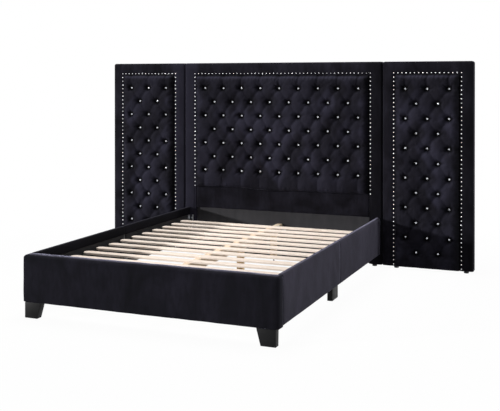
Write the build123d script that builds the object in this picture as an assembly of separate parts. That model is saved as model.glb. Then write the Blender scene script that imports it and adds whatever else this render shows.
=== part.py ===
from build123d import *
import math
import os

os.makedirs("parts", exist_ok=True)

# A queen bed with an upholstered headboard in three panels, in millimetres. It stands on the floor
# at z = 0, its foot end towards -Y and its head end towards +Y. Left and right are as seen from the
# foot end. The origin is on the floor, midway between the ends and sides of the whole bed.

# The bed's main places
bed_length = 2194.0  # front of the footboard to the front of the headboard's border
rail_top = 373.0  # top of the side rails and of the footboard
rail_bottom = 99.0  # the rails' underside
footboard_drop = 5.0  # how far the footboard reaches below the rails
footboard_width = 1626.0
rail_setback = 2.0  # the rails' outer faces stand in from the footboard's ends
rail_seam = 1050.0  # headboard's front to the seam between a rail's two halves
mattress_level = 290.0  # top of the slats

# Headboard and wings
headboard_overhang = 12.0  # how far the headboard reaches past each end of the footboard
wing_width = 668.0
panel_gap = 5.0  # between the headboard and each wing
panel_top = 1551.0
panel_bottom = 21.0
panel_corner = 16.0  # radius of a panel's upper corners
border_padding = 30.0  # padding in front of the face board
edge_padding = 10.0  # padding over the panel's top and sides
face_board = 9.0
frame_depth = 44.0
headboard_border = 100.0  # the border's width, from the panel's side to the tufted pad
wing_border = 94.0
border_outer_round = 12.0
border_inner_round = 8.0
soft_clearance = 0.3  # between two upholstered pieces
dust_cover = 1.5
dust_cover_margin = 2.5  # between a dust cover and the joining plates

# The members of the panels' frames
headboard_stile = 90.0
wing_stile = 60.0
cross_rail = 70.0
bed_rail_board = 120.0  # the wide cross rail that the bed hangs on
bed_rail_board_level = 190.0  # its underside
middle_rail_shares = (0.36, 0.68)  # where the other cross rails are, as shares of the panel's height

# Tufted pads
pad_crown = 25.0  # how far a pad stands forward of the border
pad_roll = 38.0  # radius of a pad's edges
headboard_pad_lower_roll = 26.0
wing_pad_lower_roll = 14.0
headboard_seam = 545.0  # height of the seam under the headboard's pad
headboard_rows = 7
headboard_columns = 9
headboard_side_margin = 85.0  # the border to the outermost column of buttons
headboard_lower_margin = 142.0  # the seam to the lowest row
wing_rows = 12
wing_columns = 3
wing_side_margin = 78.0
wing_lower_margin = 113.5
top_row_drop = 201.0  # a panel's top to its highest row of buttons
pleat_half_width = 30.0
pleat_depth = 22.0
fold_share = 0.6  # size of the straight folds that run out to the pad's edges
dimple_depth = 29.0  # crown to the floor of a button's dimple
dimple_floor_radius = 13.0
dimple_mouth_radius = 33.0
dimple_sides = 6

# Buttons
button_radius = 11.0
button_table_radius = 6.5
button_height = 8.0
button_sides = 6

# Plain band and lining below the headboard's pad
lower_band_bottom = 374.0
lower_band_recess = 3.0  # its face stands back from the border
lower_band_round = 10.0
lining_thickness = 6.0

# Glides under the panels
glide_radius = 18.0
glide_setback = 50.0  # panel's front to the middle of a glide
headboard_glide_inset = 68.0  # panel's side to the middle of the glide
wing_glide_inner_inset = 95.0
wing_glide_outer_inset = 55.0

# Joining the wings to the headboard
plate_length = 124.0
plate_height = 46.0
plate_thickness = 4.0
plate_level_shares = (0.24, 0.8)  # heights of the plates, as shares of the panel's height
bolt_shank = 8.0
bolt_head = 14.0  # across the corners
bolt_head_height = 5.0
bolt_clearance = 0.1
hole_spare = 2.0  # bolt holes are this much deeper than their bolts
relief = 18.0  # side of the square opening that padding leaves round a bolt

# Side rails
rail_board = 21.0
rail_padding = 9.0
rail_top_padding = 9.0
rail_inner_padding = 5.0  # the velvet's return over the inside of the rail
rail_return = 60.0  # how far that return comes down
rail_outer_round = 14.0
rail_inner_round = 8.0
rail_bottom_padding = 3.0
ledger_width = 30.0
ledger_height = 30.0
ledger_gap = 8.0  # between a ledger and a corner bracket

# Footboard
footboard_thickness = 82.0
footboard_front_padding = 24.0
footboard_back_padding = 8.0
footboard_top_padding = 12.0
footboard_end_padding = 12.0
footboard_face_board = 9.0
footboard_corner_round = 22.0
footboard_top_round = 20.0
footboard_back_round = 16.0
footboard_member = 50.0  # height of the footboard's two long members
footboard_post = 95.0

# Legs
front_leg_top = 112.0
front_leg_foot = 87.0
front_leg_top_depth = 46.0
front_leg_foot_depth = 42.0
front_leg_side_inset = 17.0
front_leg_front_inset = 4.0
middle_leg_thickness = 35.0
middle_leg_width = 121.0
middle_leg_offset = 14.0  # its middle stands this far from the rail's seam, towards the foot

# Slat deck
slat_width = 64.0
slat_thickness = 12.0
slat_end_gap = 16.0  # a slat's end to the rail board
slat_corner_share = 0.4  # corner radius as a share of the slat's width
slat_first = 197.0  # headboard to the middle of the first slat
slat_pitch = 155.0
slat_last = 120.0  # least distance from the footboard to the middle of the last slat

# Centre beam with its hangers, legs and feet
beam_width = 42.0
beam_height = 60.0
beam_end_gap = 1.0
hanger_steel = 3.0
hanger_seat = 40.0
hanger_flange = 24.0  # the back plate's overhang on each side
hanger_cheek_share = 0.65
hanger_clearance = 0.3
centre_leg_side = 42.0
centre_leg_first = 120.0  # headboard to the middle of the first leg
centre_leg_spacing = 660.0
centre_leg_count = 3
foot_pad_radius = 17.0
foot_pad_height = 8.0
foot_collar = 15.0  # across the corners
foot_collar_height = 5.0
foot_stud = 8.0
foot_travel_in = 12.0
foot_travel_out = 8.0
foot_engagement = 30.0  # stud left inside the leg with the foot screwed out
foot_spare = 2.0
foot_clearance = 0.1

# Corner brackets
bracket_steel = 3.0
bracket_height = 125.0
bracket_bottom = 185.0
bracket_rail_flange = 40.0
bracket_end_flange = 33.0
bracket_bolt_inset = 15.0  # the end flange's free edge to the bolts
bracket_bolt_margin = 25.0  # the bracket's top and bottom to the bolts
head_bolt_grip = 30.0  # how deep a head bolt goes into the panel's frame
foot_bolt_grip = 30.0

overrun = 5.0  # how far cutting tools reach past what they cut

# A quarter round in three facets, as shares of its radius, for edges that are repeated many times
round_shares = ((0, 1), (0.134, 0.5), (0.5, 0.134), (1, 0))
glide_sides = 16

# Places and sizes that follow from these
headboard_width = footboard_width + 2 * headboard_overhang
top_row = panel_top - top_row_drop
panel_depth = border_padding + face_board + frame_depth
overall_depth = bed_length + panel_depth + plate_thickness
foot_front = -overall_depth / 2
foot_back = foot_front + footboard_thickness
head_front = foot_front + bed_length
board_front = head_front + border_padding
frame_front = board_front + face_board
frame_back = frame_front + frame_depth
lining_front = board_front - lining_thickness
rail_outer = footboard_width / 2 - rail_setback
footboard_bottom = rail_bottom - footboard_drop
board_outer = rail_outer - rail_padding
board_inner = board_outer - rail_board
seam_y = head_front - rail_seam
slat_bottom = mattress_level - slat_thickness
beam_bottom = slat_bottom - beam_height
wing_middle = headboard_width / 2 + panel_gap + wing_width / 2
opening = headboard_width / 2 - headboard_border  # half the headboard's field inside its border
wing_opening = wing_width / 2 - wing_border
dust_cover_inset = (plate_length - panel_gap) / 2 + dust_cover_margin
slat_length = 2 * (board_inner - slat_end_gap)
slat_count = 1 + int((head_front - slat_first - foot_back - slat_last) // slat_pitch)
centre_leg_bottom = foot_pad_height + foot_collar_height + foot_travel_in + foot_spare
footboard_board_front = foot_front + footboard_front_padding
footboard_frame_front = footboard_board_front + footboard_face_board
footboard_frame_back = foot_back - footboard_back_padding
footboard_inner = footboard_width / 2 - footboard_end_padding
footboard_inner_top = rail_top - footboard_top_padding
bracket_bolt_x = board_inner - bracket_end_flange + bracket_bolt_inset
bracket_levels = (bracket_bottom + bracket_bolt_margin, bracket_bottom + bracket_height - bracket_bolt_margin)
head_bolt_length = bracket_steel + border_padding + face_board + head_bolt_grip
foot_bolt_length = bracket_steel + footboard_back_padding + foot_bolt_grip


def block(x0, x1, y0, y1, z0, z1):
    """A plain board between two opposite corners."""
    middle = Pos((x0 + x1) / 2, (y0 + y1) / 2, (z0 + z1) / 2)
    return middle * Box(abs(x1 - x0), abs(y1 - y0), abs(z1 - z0))


def mirrored(solid):
    """The same piece on the other side of the bed."""
    return solid.mirror(Plane.YZ)


def facing_foot(y):
    """A drawing plane across the bed at y, with x to the right and z up, that grows towards -Y."""
    return Plane(origin=(0, y, 0), x_dir=(1, 0, 0), z_dir=(0, -1, 0))


def save(solids, name):
    """Writes one node, which may hold several separate solids."""
    group = [s for piece in solids for s in piece.solids()]
    shape = group[0] if len(group) == 1 else Compound(group)
    export_step(shape, os.path.join("parts", name + ".step"))


def save_pair(solids, name):
    """Writes a piece of the right side and its mirror image on the left."""
    save(solids, "right_" + name)
    save([mirrored(piece) for piece in solids], "left_" + name)


def bolt(length):
    """A hexagon-headed bolt along -Z from the underside of its head, which is at the origin."""
    head = extrude(RegularPolygon(bolt_head / 2, 6), amount=bolt_head_height)
    shank = Pos(0, 0, -length / 2) * Cylinder(bolt_shank / 2, length)
    return head + shank


def bolt_hole(length):
    """What a bolt's shank needs, a little longer and wider than the shank."""
    depth = length + hole_spare
    radius = bolt_shank / 2 + bolt_clearance
    return Pos(0, 0, (overrun - depth) / 2) * Cylinder(radius, overrun + depth)


def towards_head(x, y, z):
    """Places a bolt so that it is driven towards +Y."""
    return Pos(x, y, z) * Rot(X=90)


def towards_foot(x, y, z):
    """Places a bolt so that it is driven towards -Y."""
    return Pos(x, y, z) * Rot(X=-90)


# Upholstered panels


def border(middle, width, border_width):
    """Padded velvet border: the front, both sides and the top of a panel, open below."""
    half = width / 2
    outline = Rectangle(width, panel_top - panel_bottom)
    outline = fillet(outline.vertices().sort_by(Axis.Y)[-2:], panel_corner)
    outline = Pos(middle, (panel_top + panel_bottom) / 2) * outline
    solid = extrude(facing_foot(frame_back) * outline, amount=frame_back - head_front)
    front = solid.edges().filter_by_position(Axis.Y, head_front, head_front)
    solid = fillet(front.filter_by(lambda e: e.center().Z > panel_bottom), border_outer_round)
    inner = half - edge_padding
    solid -= block(middle - inner, middle + inner, board_front, frame_back + overrun,
                   panel_bottom - overrun, panel_top - edge_padding)
    field = half - border_width
    solid -= block(middle - field, middle + field, head_front - overrun, board_front + overrun,
                   panel_bottom - overrun, panel_top - border_width)
    rim = solid.edges().filter_by_position(Axis.Y, head_front, head_front)
    reach = field + soft_clearance
    rim = rim.filter_by(lambda e: abs(e.center().X - middle) < reach and e.center().Z > panel_bottom)
    return fillet(rim, border_inner_round)


def panel_board(middle, width):
    """Plywood face board inside a panel's border."""
    inner = width / 2 - edge_padding
    return block(middle - inner, middle + inner, board_front, frame_front,
                 panel_bottom, panel_top - edge_padding)


def panel_frame(middle, width, stile):
    """Softwood ladder frame behind the face board: two stiles and the cross rails between them."""
    inner = width / 2 - edge_padding
    top = panel_top - edge_padding
    members = [block(middle + side * inner, middle + side * (inner - stile), frame_front, frame_back,
                     panel_bottom, top) for side in (-1, 1)]
    height = panel_top - panel_bottom
    levels = [(panel_bottom, panel_bottom + cross_rail), (top - cross_rail, top),
              (bed_rail_board_level, bed_rail_board_level + bed_rail_board)]
    for share in middle_rail_shares:
        level = panel_bottom + share * height
        levels.append((level, level + cross_rail))
    reach = inner - stile
    for low, high in levels:
        members.append(block(middle - reach, middle + reach, frame_front, frame_back, low, high))
    return members


def panel_dust_cover(middle, width):
    """Thin cloth over the open back of a panel's frame."""
    half = width / 2 - dust_cover_inset
    return block(middle - half, middle + half, frame_back, frame_back + dust_cover,
                 panel_bottom + edge_padding, panel_top - dust_cover_inset)


def tuft_rows(middle, columns, rows, half_opening, side_margin, low, high):
    """Button places, row by row from the top: (x, z) with every second row one button shorter."""
    pitch = 2 * (half_opening - side_margin) / (columns - 1)
    drop = (high - low) / (rows - 1)
    places = []
    for j in range(rows):
        count = columns - j % 2
        places.append([(middle + (i - (count - 1) / 2) * pitch, high - j * drop) for i in range(count)])
    return places


def pleat(start, end, share):
    """Cutter for a pleat between two places of the pad's face, in section a V."""
    length = math.hypot(end[0] - start[0], end[1] - start[1])
    along = ((end[0] - start[0]) / length, 0, (end[1] - start[1]) / length)
    across = (along[2], 0, -along[0])
    half = pleat_half_width * share
    deep = pleat_depth * share
    section = Polygon((-half, -overrun), (half, -overrun), (half, 0), (0, deep), (-half, 0), align=None)
    plane = Plane(origin=(start[0], head_front - pad_crown, start[1]), x_dir=across, z_dir=along)
    return extrude(plane * section, amount=length)


def pleat_lines(places):
    """The diagonals of the diamond pattern, each from its first button to its last."""
    lines = []
    longest = max(len(row) for row in places)
    spots = {}
    for j, row in enumerate(places):
        for i, spot in enumerate(row):
            # Columns count in half pitches from the left, so that a diagonal steps by one.
            spots[(2 * i + longest - len(row), j)] = spot
    for step in (-1, 1):
        for (c, j), spot in spots.items():
            if (c - step, j - 1) in spots:
                continue
            last = 0
            while (c + step * (last + 1), j + last + 1) in spots:
                last += 1
            if last:
                lines.append((spot, spots[(c + step * last, j + last)]))
    return lines


def edge_folds(places, left, right, low, high):
    """The short straight folds from the outer buttons to the pad's edges."""
    folds = [((x, z), (x, high)) for x, z in places[0]]
    folds += [((x, z), (x, low)) for x, z in places[-1]]
    longest = max(len(row) for row in places)
    for row in places:
        if len(row) == longest:
            folds.append((row[0], (left, row[0][1])))
            folds.append((row[-1], (right, row[-1][1])))
    return folds


def tapered(plane, start_radius, end_radius, height, sides, spare=0):
    """A tapered prism of flat faces, from the plane on past its height by the spare length."""
    end_radius += (end_radius - start_radius) * spare / height
    turns = [2 * math.pi * k / sides for k in range(sides)]
    corners = [(math.cos(turn), math.sin(turn)) for turn in turns]
    start = [plane.from_local_coords((start_radius * u, start_radius * v, 0)) for u, v in corners]
    end = [plane.from_local_coords((end_radius * u, end_radius * v, height + spare)) for u, v in corners]
    walls = [(start[k - 1], start[k], end[k], end[k - 1]) for k in range(sides)]
    return Solid(Shell([Face(Wire.make_polygon(ring)) for ring in walls + [start, end]]))


def dimple(spot):
    """Cutter for the well that a button sits in: a flat floor with sloping sides."""
    plane = facing_foot(head_front - pad_crown + dimple_depth)
    well = tapered(plane, dimple_floor_radius, dimple_mouth_radius, dimple_depth, dimple_sides, overrun)
    return Pos(spot[0], 0, spot[1]) * well


def tufted_pad(places, left, right, low, high, lower_roll):
    """A tufted pad: rolled edges, pleats along the diagonals, folds at the edges, a dimple per button."""
    left, right, high = left + soft_clearance, right - soft_clearance, high - soft_clearance
    low = max(low + soft_clearance, panel_bottom)
    crown = head_front - pad_crown
    sides = [(pad_roll * u, crown + pad_roll * v) for u, v in round_shares]
    plan = [(left, board_front)] + [(left + u, y) for u, y in sides]
    plan += [(right - u, y) for u, y in reversed(sides)] + [(right, board_front)]
    body = extrude(Plane.XY.offset(low) * Polygon(*plan, align=None), amount=high - low)
    upper = [(crown + pad_roll * v, high - pad_roll * u) for u, v in round_shares]
    lower = [(crown + lower_roll * v, low + lower_roll * u) for u, v in round_shares]
    section = [(board_front, high)] + upper + lower[::-1] + [(board_front, low)]
    across = Plane(origin=(left, 0, 0), x_dir=(0, 1, 0), z_dir=(1, 0, 0))
    body = body & extrude(across * Polygon(*section, align=None), amount=right - left)
    cutters = [pleat(a, b, 1) for a, b in pleat_lines(places)]
    cutters += [pleat(a, b, fold_share) for a, b in edge_folds(places, left, right, low, high)]
    cutters += [dimple(spot) for row in places for spot in row]
    return body - cutters


def buttons(places):
    """Cut-crystal buttons, each on the floor of its dimple."""
    floor = facing_foot(head_front - pad_crown + dimple_depth)
    one = tapered(floor, button_radius, button_table_radius, button_height, button_sides)
    return [Pos(x, 0, z) * one for row in places for x, z in row]


def lower_band():
    """Plain padded velvet band between the tufted pad's seam and the lining."""
    reach = opening - soft_clearance
    front = head_front + lower_band_recess
    band = block(-reach, reach, front, board_front, lower_band_bottom, headboard_seam)
    return fillet(band.edges().filter_by(Axis.X).group_by(Axis.Y)[0], lower_band_round)


def lining():
    """Dark cloth on a thin felt over the face board, below the velvet band."""
    reach = opening - soft_clearance
    return block(-reach, reach, lining_front, board_front, panel_bottom, lower_band_bottom)


def plate_places():
    """The joining plates' middles: at each gap between two panels, one low and one high."""
    gap = (headboard_width + panel_gap) / 2
    height = panel_top - panel_bottom
    return [(side * gap, panel_bottom + share * height) for side in (-1, 1) for share in plate_level_shares]


def joining_plates():
    """Flat steel plates across the gaps, screwed to the backs of the panels' frames."""
    return [block(x - plate_length / 2, x + plate_length / 2, frame_back, frame_back + plate_thickness,
                  z - plate_height / 2, z + plate_height / 2) for x, z in plate_places()]


def glides():
    """Plastic glides under the three panels."""
    height = panel_bottom
    glide = extrude(RegularPolygon(glide_radius, glide_sides), amount=height)
    inner = headboard_width / 2 - headboard_glide_inset
    spots = [inner, headboard_width / 2 + panel_gap + wing_glide_inner_inset,
             wing_middle + wing_width / 2 - wing_glide_outer_inset]
    return [Pos(side * x, head_front + glide_setback, 0) * glide for x in spots for side in (-1, 1)]


# Side rails, for the right side of the bed, mirrored for the left


def rail_halves():
    """The two lengths of a side rail, as (name, start, end) along the bed."""
    return [("head", seam_y, head_front), ("foot", foot_back, seam_y)]


def rail_core(start, end):
    """The board inside one half of a side rail."""
    return block(board_inner, board_outer, start, end, rail_bottom + rail_bottom_padding,
                 rail_top - rail_top_padding)


def rail_cover(start, end):
    """Padded velvet round one half of a side rail: outside, top, underside and the upper inside."""
    inner = board_inner - rail_inner_padding
    width, height = rail_outer - inner, rail_top - rail_bottom
    outline = Rectangle(width, height)
    upper = outline.vertices().sort_by(Axis.Y)[-2:].sort_by(Axis.X)
    outline = fillet(upper[1], rail_outer_round)
    upper = outline.vertices().sort_by(Axis.Y)[-2:].sort_by(Axis.X)
    outline = fillet(upper[0], rail_inner_round)
    outline = Pos((inner + rail_outer) / 2, (rail_bottom + rail_top) / 2) * outline
    solid = extrude(facing_foot(end) * outline, amount=end - start)
    start, end = start - overrun, end + overrun
    solid -= block(board_inner, board_outer, start, end, rail_bottom + rail_bottom_padding,
                   rail_top - rail_top_padding)
    low, high = rail_bottom - overrun, rail_top - rail_return
    return solid - block(inner - overrun, board_inner, start, end, low, high)


def ledger():
    """Ledger strips inside a side rail, one for each half, that carry the slats' ends."""
    x0, z0 = board_inner - ledger_width, slat_bottom - ledger_height
    end_gap = bracket_rail_flange + ledger_gap
    return [block(x0, board_inner, seam_y, head_front - end_gap, z0, slat_bottom),
            block(x0, board_inner, foot_back + end_gap, seam_y, z0, slat_bottom)]


def middle_leg():
    """Square-cut leg inside a side rail, screwed to both of its halves."""
    middle = seam_y - middle_leg_offset
    return block(board_inner - middle_leg_thickness, board_inner, middle - middle_leg_width / 2,
                 middle + middle_leg_width / 2, 0, slat_bottom - ledger_height)


def bracket(end, inward):
    """Steel angle at one end of a side rail. It stands on the end plane and reaches inward from it."""
    x0, x1 = board_inner - bracket_end_flange, board_inner - bracket_steel
    low, high = bracket_bottom, bracket_bottom + bracket_height
    on_rail = block(x1, board_inner, end, end + inward * bracket_rail_flange, low, high)
    return on_rail + block(x0, board_inner, end, end + inward * bracket_steel, low, high)


def head_bolt_frames():
    """Where the bolts through the brackets into the headboard stand."""
    return [towards_head(bracket_bolt_x, head_front - bracket_steel, z) for z in bracket_levels]


def foot_bolt_frames():
    """Where the bolts through the brackets into the footboard stand."""
    return [towards_foot(bracket_bolt_x, foot_back + bracket_steel, z) for z in bracket_levels]


def side_tools():
    """Holes for the bolts on the right side of the bed."""
    tools = [f * bolt_hole(head_bolt_length) for f in head_bolt_frames()]
    return tools + [f * bolt_hole(foot_bolt_length) for f in foot_bolt_frames()]


def side_bolts():
    """The bolts on the right side of the bed."""
    bolts = [f * bolt(head_bolt_length) for f in head_bolt_frames()]
    return bolts + [f * bolt(foot_bolt_length) for f in foot_bolt_frames()]


def reliefs(y0, y1):
    """Square openings that padding leaves round the bolts, on both sides of the bed."""
    half = relief / 2
    places = [(side * bracket_bolt_x, z) for side in (-1, 1) for z in bracket_levels]
    return [block(x - half, x + half, y0 - overrun, y1 + overrun, z - half, z + half) for x, z in places]


# Footboard and front legs


def footboard_cover():
    """Padded velvet over the footboard, open below."""
    half = footboard_width / 2
    solid = block(-half, half, foot_front, foot_back, footboard_bottom, rail_top)
    solid = fillet(solid.edges().filter_by(Axis.Z).sort_by(Axis.Y)[:2], footboard_corner_round)
    top = solid.edges().filter_by_position(Axis.Z, rail_top, rail_top).sort_by(Axis.Y)
    solid = fillet(top[:-1], footboard_top_round)
    back = solid.edges().filter_by(Axis.X).filter_by_position(Axis.Y, foot_back, foot_back).sort_by(Axis.Z)
    solid = fillet(back[-1], footboard_back_round)
    return solid - block(-footboard_inner, footboard_inner, footboard_board_front, footboard_frame_back,
                         footboard_bottom - overrun, footboard_inner_top)


def footboard_frame():
    """Softwood frame of the footboard with its plywood face board."""
    low, high = footboard_bottom, footboard_inner_top
    front, back = footboard_frame_front, footboard_frame_back
    pieces = [block(-footboard_inner, footboard_inner, footboard_board_front, front, low, high)]
    reach = footboard_inner - footboard_post
    for z0, z1 in ((low, low + footboard_member), (high - footboard_member, high)):
        pieces.append(block(-reach, reach, front, back, z0, z1))
    for side in (-1, 1):
        pieces.append(block(side * reach, side * footboard_inner, front, back, low, high))
    half = footboard_post / 2
    pieces.append(block(-half, half, front, back, low + footboard_member, high - footboard_member))
    return pieces


def front_leg():
    """Front leg of the right side: square-cut, tapered on its inner side and at its back."""
    outer = footboard_width / 2 - front_leg_side_inset
    front = foot_front + front_leg_front_inset
    back = front + front_leg_top_depth
    from_foot = Polygon((outer, 0), (outer, footboard_bottom), (outer - front_leg_top, footboard_bottom),
                        (outer - front_leg_foot, 0), align=None)
    from_side = Polygon((front, 0), (front + front_leg_foot_depth, 0), (back, footboard_bottom),
                        (front, footboard_bottom), align=None)
    across = Plane(origin=(outer - front_leg_top, 0, 0), x_dir=(0, 1, 0), z_dir=(1, 0, 0))
    wedge = extrude(facing_foot(back) * from_foot, amount=front_leg_top_depth)
    return wedge & extrude(across * from_side, amount=front_leg_top)


# Slat deck


def slat_outline():
    """A slat seen from above: a long strip with rounded corners."""
    length, width, corner = slat_length / 2, slat_width / 2, slat_width * slat_corner_share
    points = []
    for along, across in ((1, 1), (-1, 1), (-1, -1), (1, -1)):
        quarter = [(along * (length - corner * u), across * (width - corner * v)) for u, v in round_shares]
        points += quarter if along == across else quarter[::-1]
    return Polygon(*points, align=None)


def slat(number):
    """One slat, counted from the headboard."""
    y = head_front - slat_first - (number - 1) * slat_pitch
    return extrude(Plane.XY.offset(slat_bottom) * Pos(0, y) * slat_outline(), amount=slat_thickness)


def centre_beam():
    """Beam along the middle of the bed that carries the slats."""
    half = beam_width / 2
    start = foot_back + hanger_steel + beam_end_gap
    end = lining_front - hanger_steel - beam_end_gap
    return block(-half, half, start, end, beam_bottom, slat_bottom)


def hanger(end, inward):
    """Steel stirrup that carries one end of the beam. It stands on the end plane."""
    inner = beam_width / 2 + hanger_clearance
    outer = inner + hanger_steel
    wide = outer + hanger_flange
    low = beam_bottom - hanger_steel
    high = beam_bottom + beam_height * hanger_cheek_share
    reach = end + inward * hanger_seat
    face = end + inward * hanger_steel
    solid = block(-wide, wide, end, face, low, high) + block(-outer, outer, face, reach, low, beam_bottom)
    for side in (-1, 1):
        solid += block(side * inner, side * outer, face, reach, beam_bottom, high)
    return solid


def centre_leg_y(number):
    """The middle of a centre leg along the bed, counted from the headboard."""
    return head_front - centre_leg_first - number * centre_leg_spacing


def centre_leg(number):
    """Post under the beam, bored from below for its levelling foot."""
    half = centre_leg_side / 2
    y = centre_leg_y(number)
    post = block(-half, half, y - half, y + half, centre_leg_bottom, beam_bottom)
    depth = foot_engagement + foot_travel_out + foot_travel_in + foot_spare
    bore = Cylinder(foot_stud / 2 + foot_clearance, depth + overrun)
    return post - Pos(0, y, centre_leg_bottom + (depth - overrun) / 2) * bore


def levelling_foot(number):
    """Levelling foot in one piece: a plastic pad, a collar for the spanner and a threaded stud."""
    pad = Pos(0, 0, foot_pad_height / 2) * Cylinder(foot_pad_radius, foot_pad_height)
    collar = Plane.XY.offset(foot_pad_height) * RegularPolygon(foot_collar / 2, 6)
    collar = extrude(collar, amount=foot_collar_height)
    low = foot_pad_height + foot_collar_height
    length = centre_leg_bottom + foot_engagement + foot_travel_out - low
    stud = Pos(0, 0, low + length / 2) * Cylinder(foot_stud / 2, length)
    return Pos(0, centre_leg_y(number), 0) * (pad + collar + stud)


# The pieces of the headboard and its wings

holes = side_tools()
holes += [mirrored(tool) for tool in holes]


def drilled(solids):
    """Each solid less the holes that reach it."""
    result = []
    for solid in solids:
        near = [t for t in holes if solid.bounding_box().overlaps(t.bounding_box())]
        result.append(solid - near if near else solid)
    return result


centre_places = tuft_rows(0, headboard_columns, headboard_rows, opening, headboard_side_margin,
                          headboard_seam + headboard_lower_margin, top_row)
save(drilled(panel_frame(0, headboard_width, headboard_stile)), "headboard_frame")
save(drilled([panel_board(0, headboard_width)]), "headboard_board")
save([border(0, headboard_width, headboard_border) - reliefs(head_front, board_front)], "headboard_border")
save([tufted_pad(centre_places, -opening, opening, headboard_seam, panel_top - headboard_border,
                 headboard_pad_lower_roll)], "headboard_tufted_pad")
save(buttons(centre_places), "headboard_buttons")
save([panel_dust_cover(0, headboard_width)], "headboard_dust_cover")
save([lower_band()], "headboard_lower_band")
save([lining()], "headboard_lining")

for side, name in ((-1, "left_wing"), (1, "right_wing")):
    middle = side * wing_middle
    places = tuft_rows(middle, wing_columns, wing_rows, wing_opening, wing_side_margin,
                       panel_bottom + wing_lower_margin, top_row)
    save(panel_frame(middle, wing_width, wing_stile), name + "_frame")
    save([panel_board(middle, wing_width)], name + "_board")
    save([border(middle, wing_width, wing_border)], name + "_border")
    save([tufted_pad(places, middle - wing_opening, middle + wing_opening, panel_bottom,
                     panel_top - wing_border, wing_pad_lower_roll)], name + "_tufted_pad")
    save(buttons(places), name + "_buttons")
    save([panel_dust_cover(middle, wing_width)], name + "_dust_cover")

save(joining_plates(), "wing_joining_plates")
save(glides(), "panel_glides")

# The pieces of the bed's frame

for half_name, start, end in rail_halves():
    save_pair([rail_core(start, end)], "rail_board_" + half_name)
    save_pair([rail_cover(start, end)], "rail_cover_" + half_name)

save_pair(ledger(), "slat_ledger")
save_pair([middle_leg()], "middle_leg")
save_pair([front_leg()], "front_leg")
brackets = drilled([bracket(head_front, -1), bracket(foot_back, 1)])
save(brackets + [mirrored(piece) for piece in brackets], "corner_brackets")
bolts = side_bolts()
save(bolts + [mirrored(piece) for piece in bolts], "frame_bolts")
save([footboard_cover() - reliefs(footboard_frame_back, foot_back)], "footboard_cover")
save(drilled(footboard_frame()), "footboard_frame")

save([centre_beam()], "centre_beam")
save([hanger(lining_front, -1), hanger(foot_back, 1)], "beam_hangers")
for number in range(1, slat_count + 1):
    save([slat(number)], "slat_%02d" % number)
for number, name in enumerate(("head", "middle", "foot")[:centre_leg_count]):
    save([centre_leg(number)], "centre_leg_" + name)
    save([levelling_foot(number)], "levelling_foot_" + name)
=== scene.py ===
import math

import bmesh
import bpy
import numpy as np
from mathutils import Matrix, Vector


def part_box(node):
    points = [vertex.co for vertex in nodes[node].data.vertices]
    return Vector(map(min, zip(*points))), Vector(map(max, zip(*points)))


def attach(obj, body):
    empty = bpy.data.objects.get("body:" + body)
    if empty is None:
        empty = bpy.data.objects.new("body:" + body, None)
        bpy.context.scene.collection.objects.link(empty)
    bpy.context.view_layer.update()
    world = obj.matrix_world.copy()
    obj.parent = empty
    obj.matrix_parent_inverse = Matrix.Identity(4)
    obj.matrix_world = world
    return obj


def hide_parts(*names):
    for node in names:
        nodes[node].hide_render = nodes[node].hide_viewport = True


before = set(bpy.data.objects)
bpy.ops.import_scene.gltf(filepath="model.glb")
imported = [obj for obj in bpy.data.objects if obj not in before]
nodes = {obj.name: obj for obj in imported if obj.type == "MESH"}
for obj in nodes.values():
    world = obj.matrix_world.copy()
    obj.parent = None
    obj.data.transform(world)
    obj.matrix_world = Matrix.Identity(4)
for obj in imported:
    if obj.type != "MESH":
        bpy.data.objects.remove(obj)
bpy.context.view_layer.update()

# Looks of a queen bed with a wide headboard in three button-tufted velvet panels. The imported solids
# give every piece its place. Sizes here are in millimetres until a mesh is made. Distances on shader
# sockets, the lights and the camera are in metres.

scene = bpy.context.scene
TAU = 2 * math.pi
PANELS = ("headboard", "left_wing", "right_wing")
SIDES = (("left", -1), ("right", 1))


def low(node):
    """A node's lowest corner in millimetres."""
    return Vector([1000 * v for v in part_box(node)[0]])


def high(node):
    """A node's highest corner in millimetres."""
    return Vector([1000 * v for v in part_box(node)[1]])


# The bed's places, read from the solids

FRONT = low("headboard_border").y  # front of the three panels' borders
PANEL_LOW = low("headboard_border").z
PANEL_TOP = high("headboard_border").z
BOARD_FRONT = low("headboard_board").y
FRAME_BACK = high("headboard_frame").y
CROWN = low("headboard_tufted_pad").y
HEAD_HALF = high("headboard_border").x
HEAD_FIELD = high("headboard_tufted_pad").x
SEAM = low("headboard_tufted_pad").z
BAND_LOW = low("headboard_lower_band").z
RAIL_LOW = low("right_rail_cover_head").z
RAIL_TOP = high("right_rail_cover_head").z
FOOT_BACK = high("footboard_cover").y
RAIL_OUTER = high("right_rail_cover_head").x
RAIL_INNER = low("right_rail_cover_head").x
RAIL_SEAM = low("right_rail_cover_head").y
BOARD_INNER = low("right_rail_board_head").x
BOARD_OUTER = high("right_rail_board_head").x

# Tufting and nails

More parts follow.
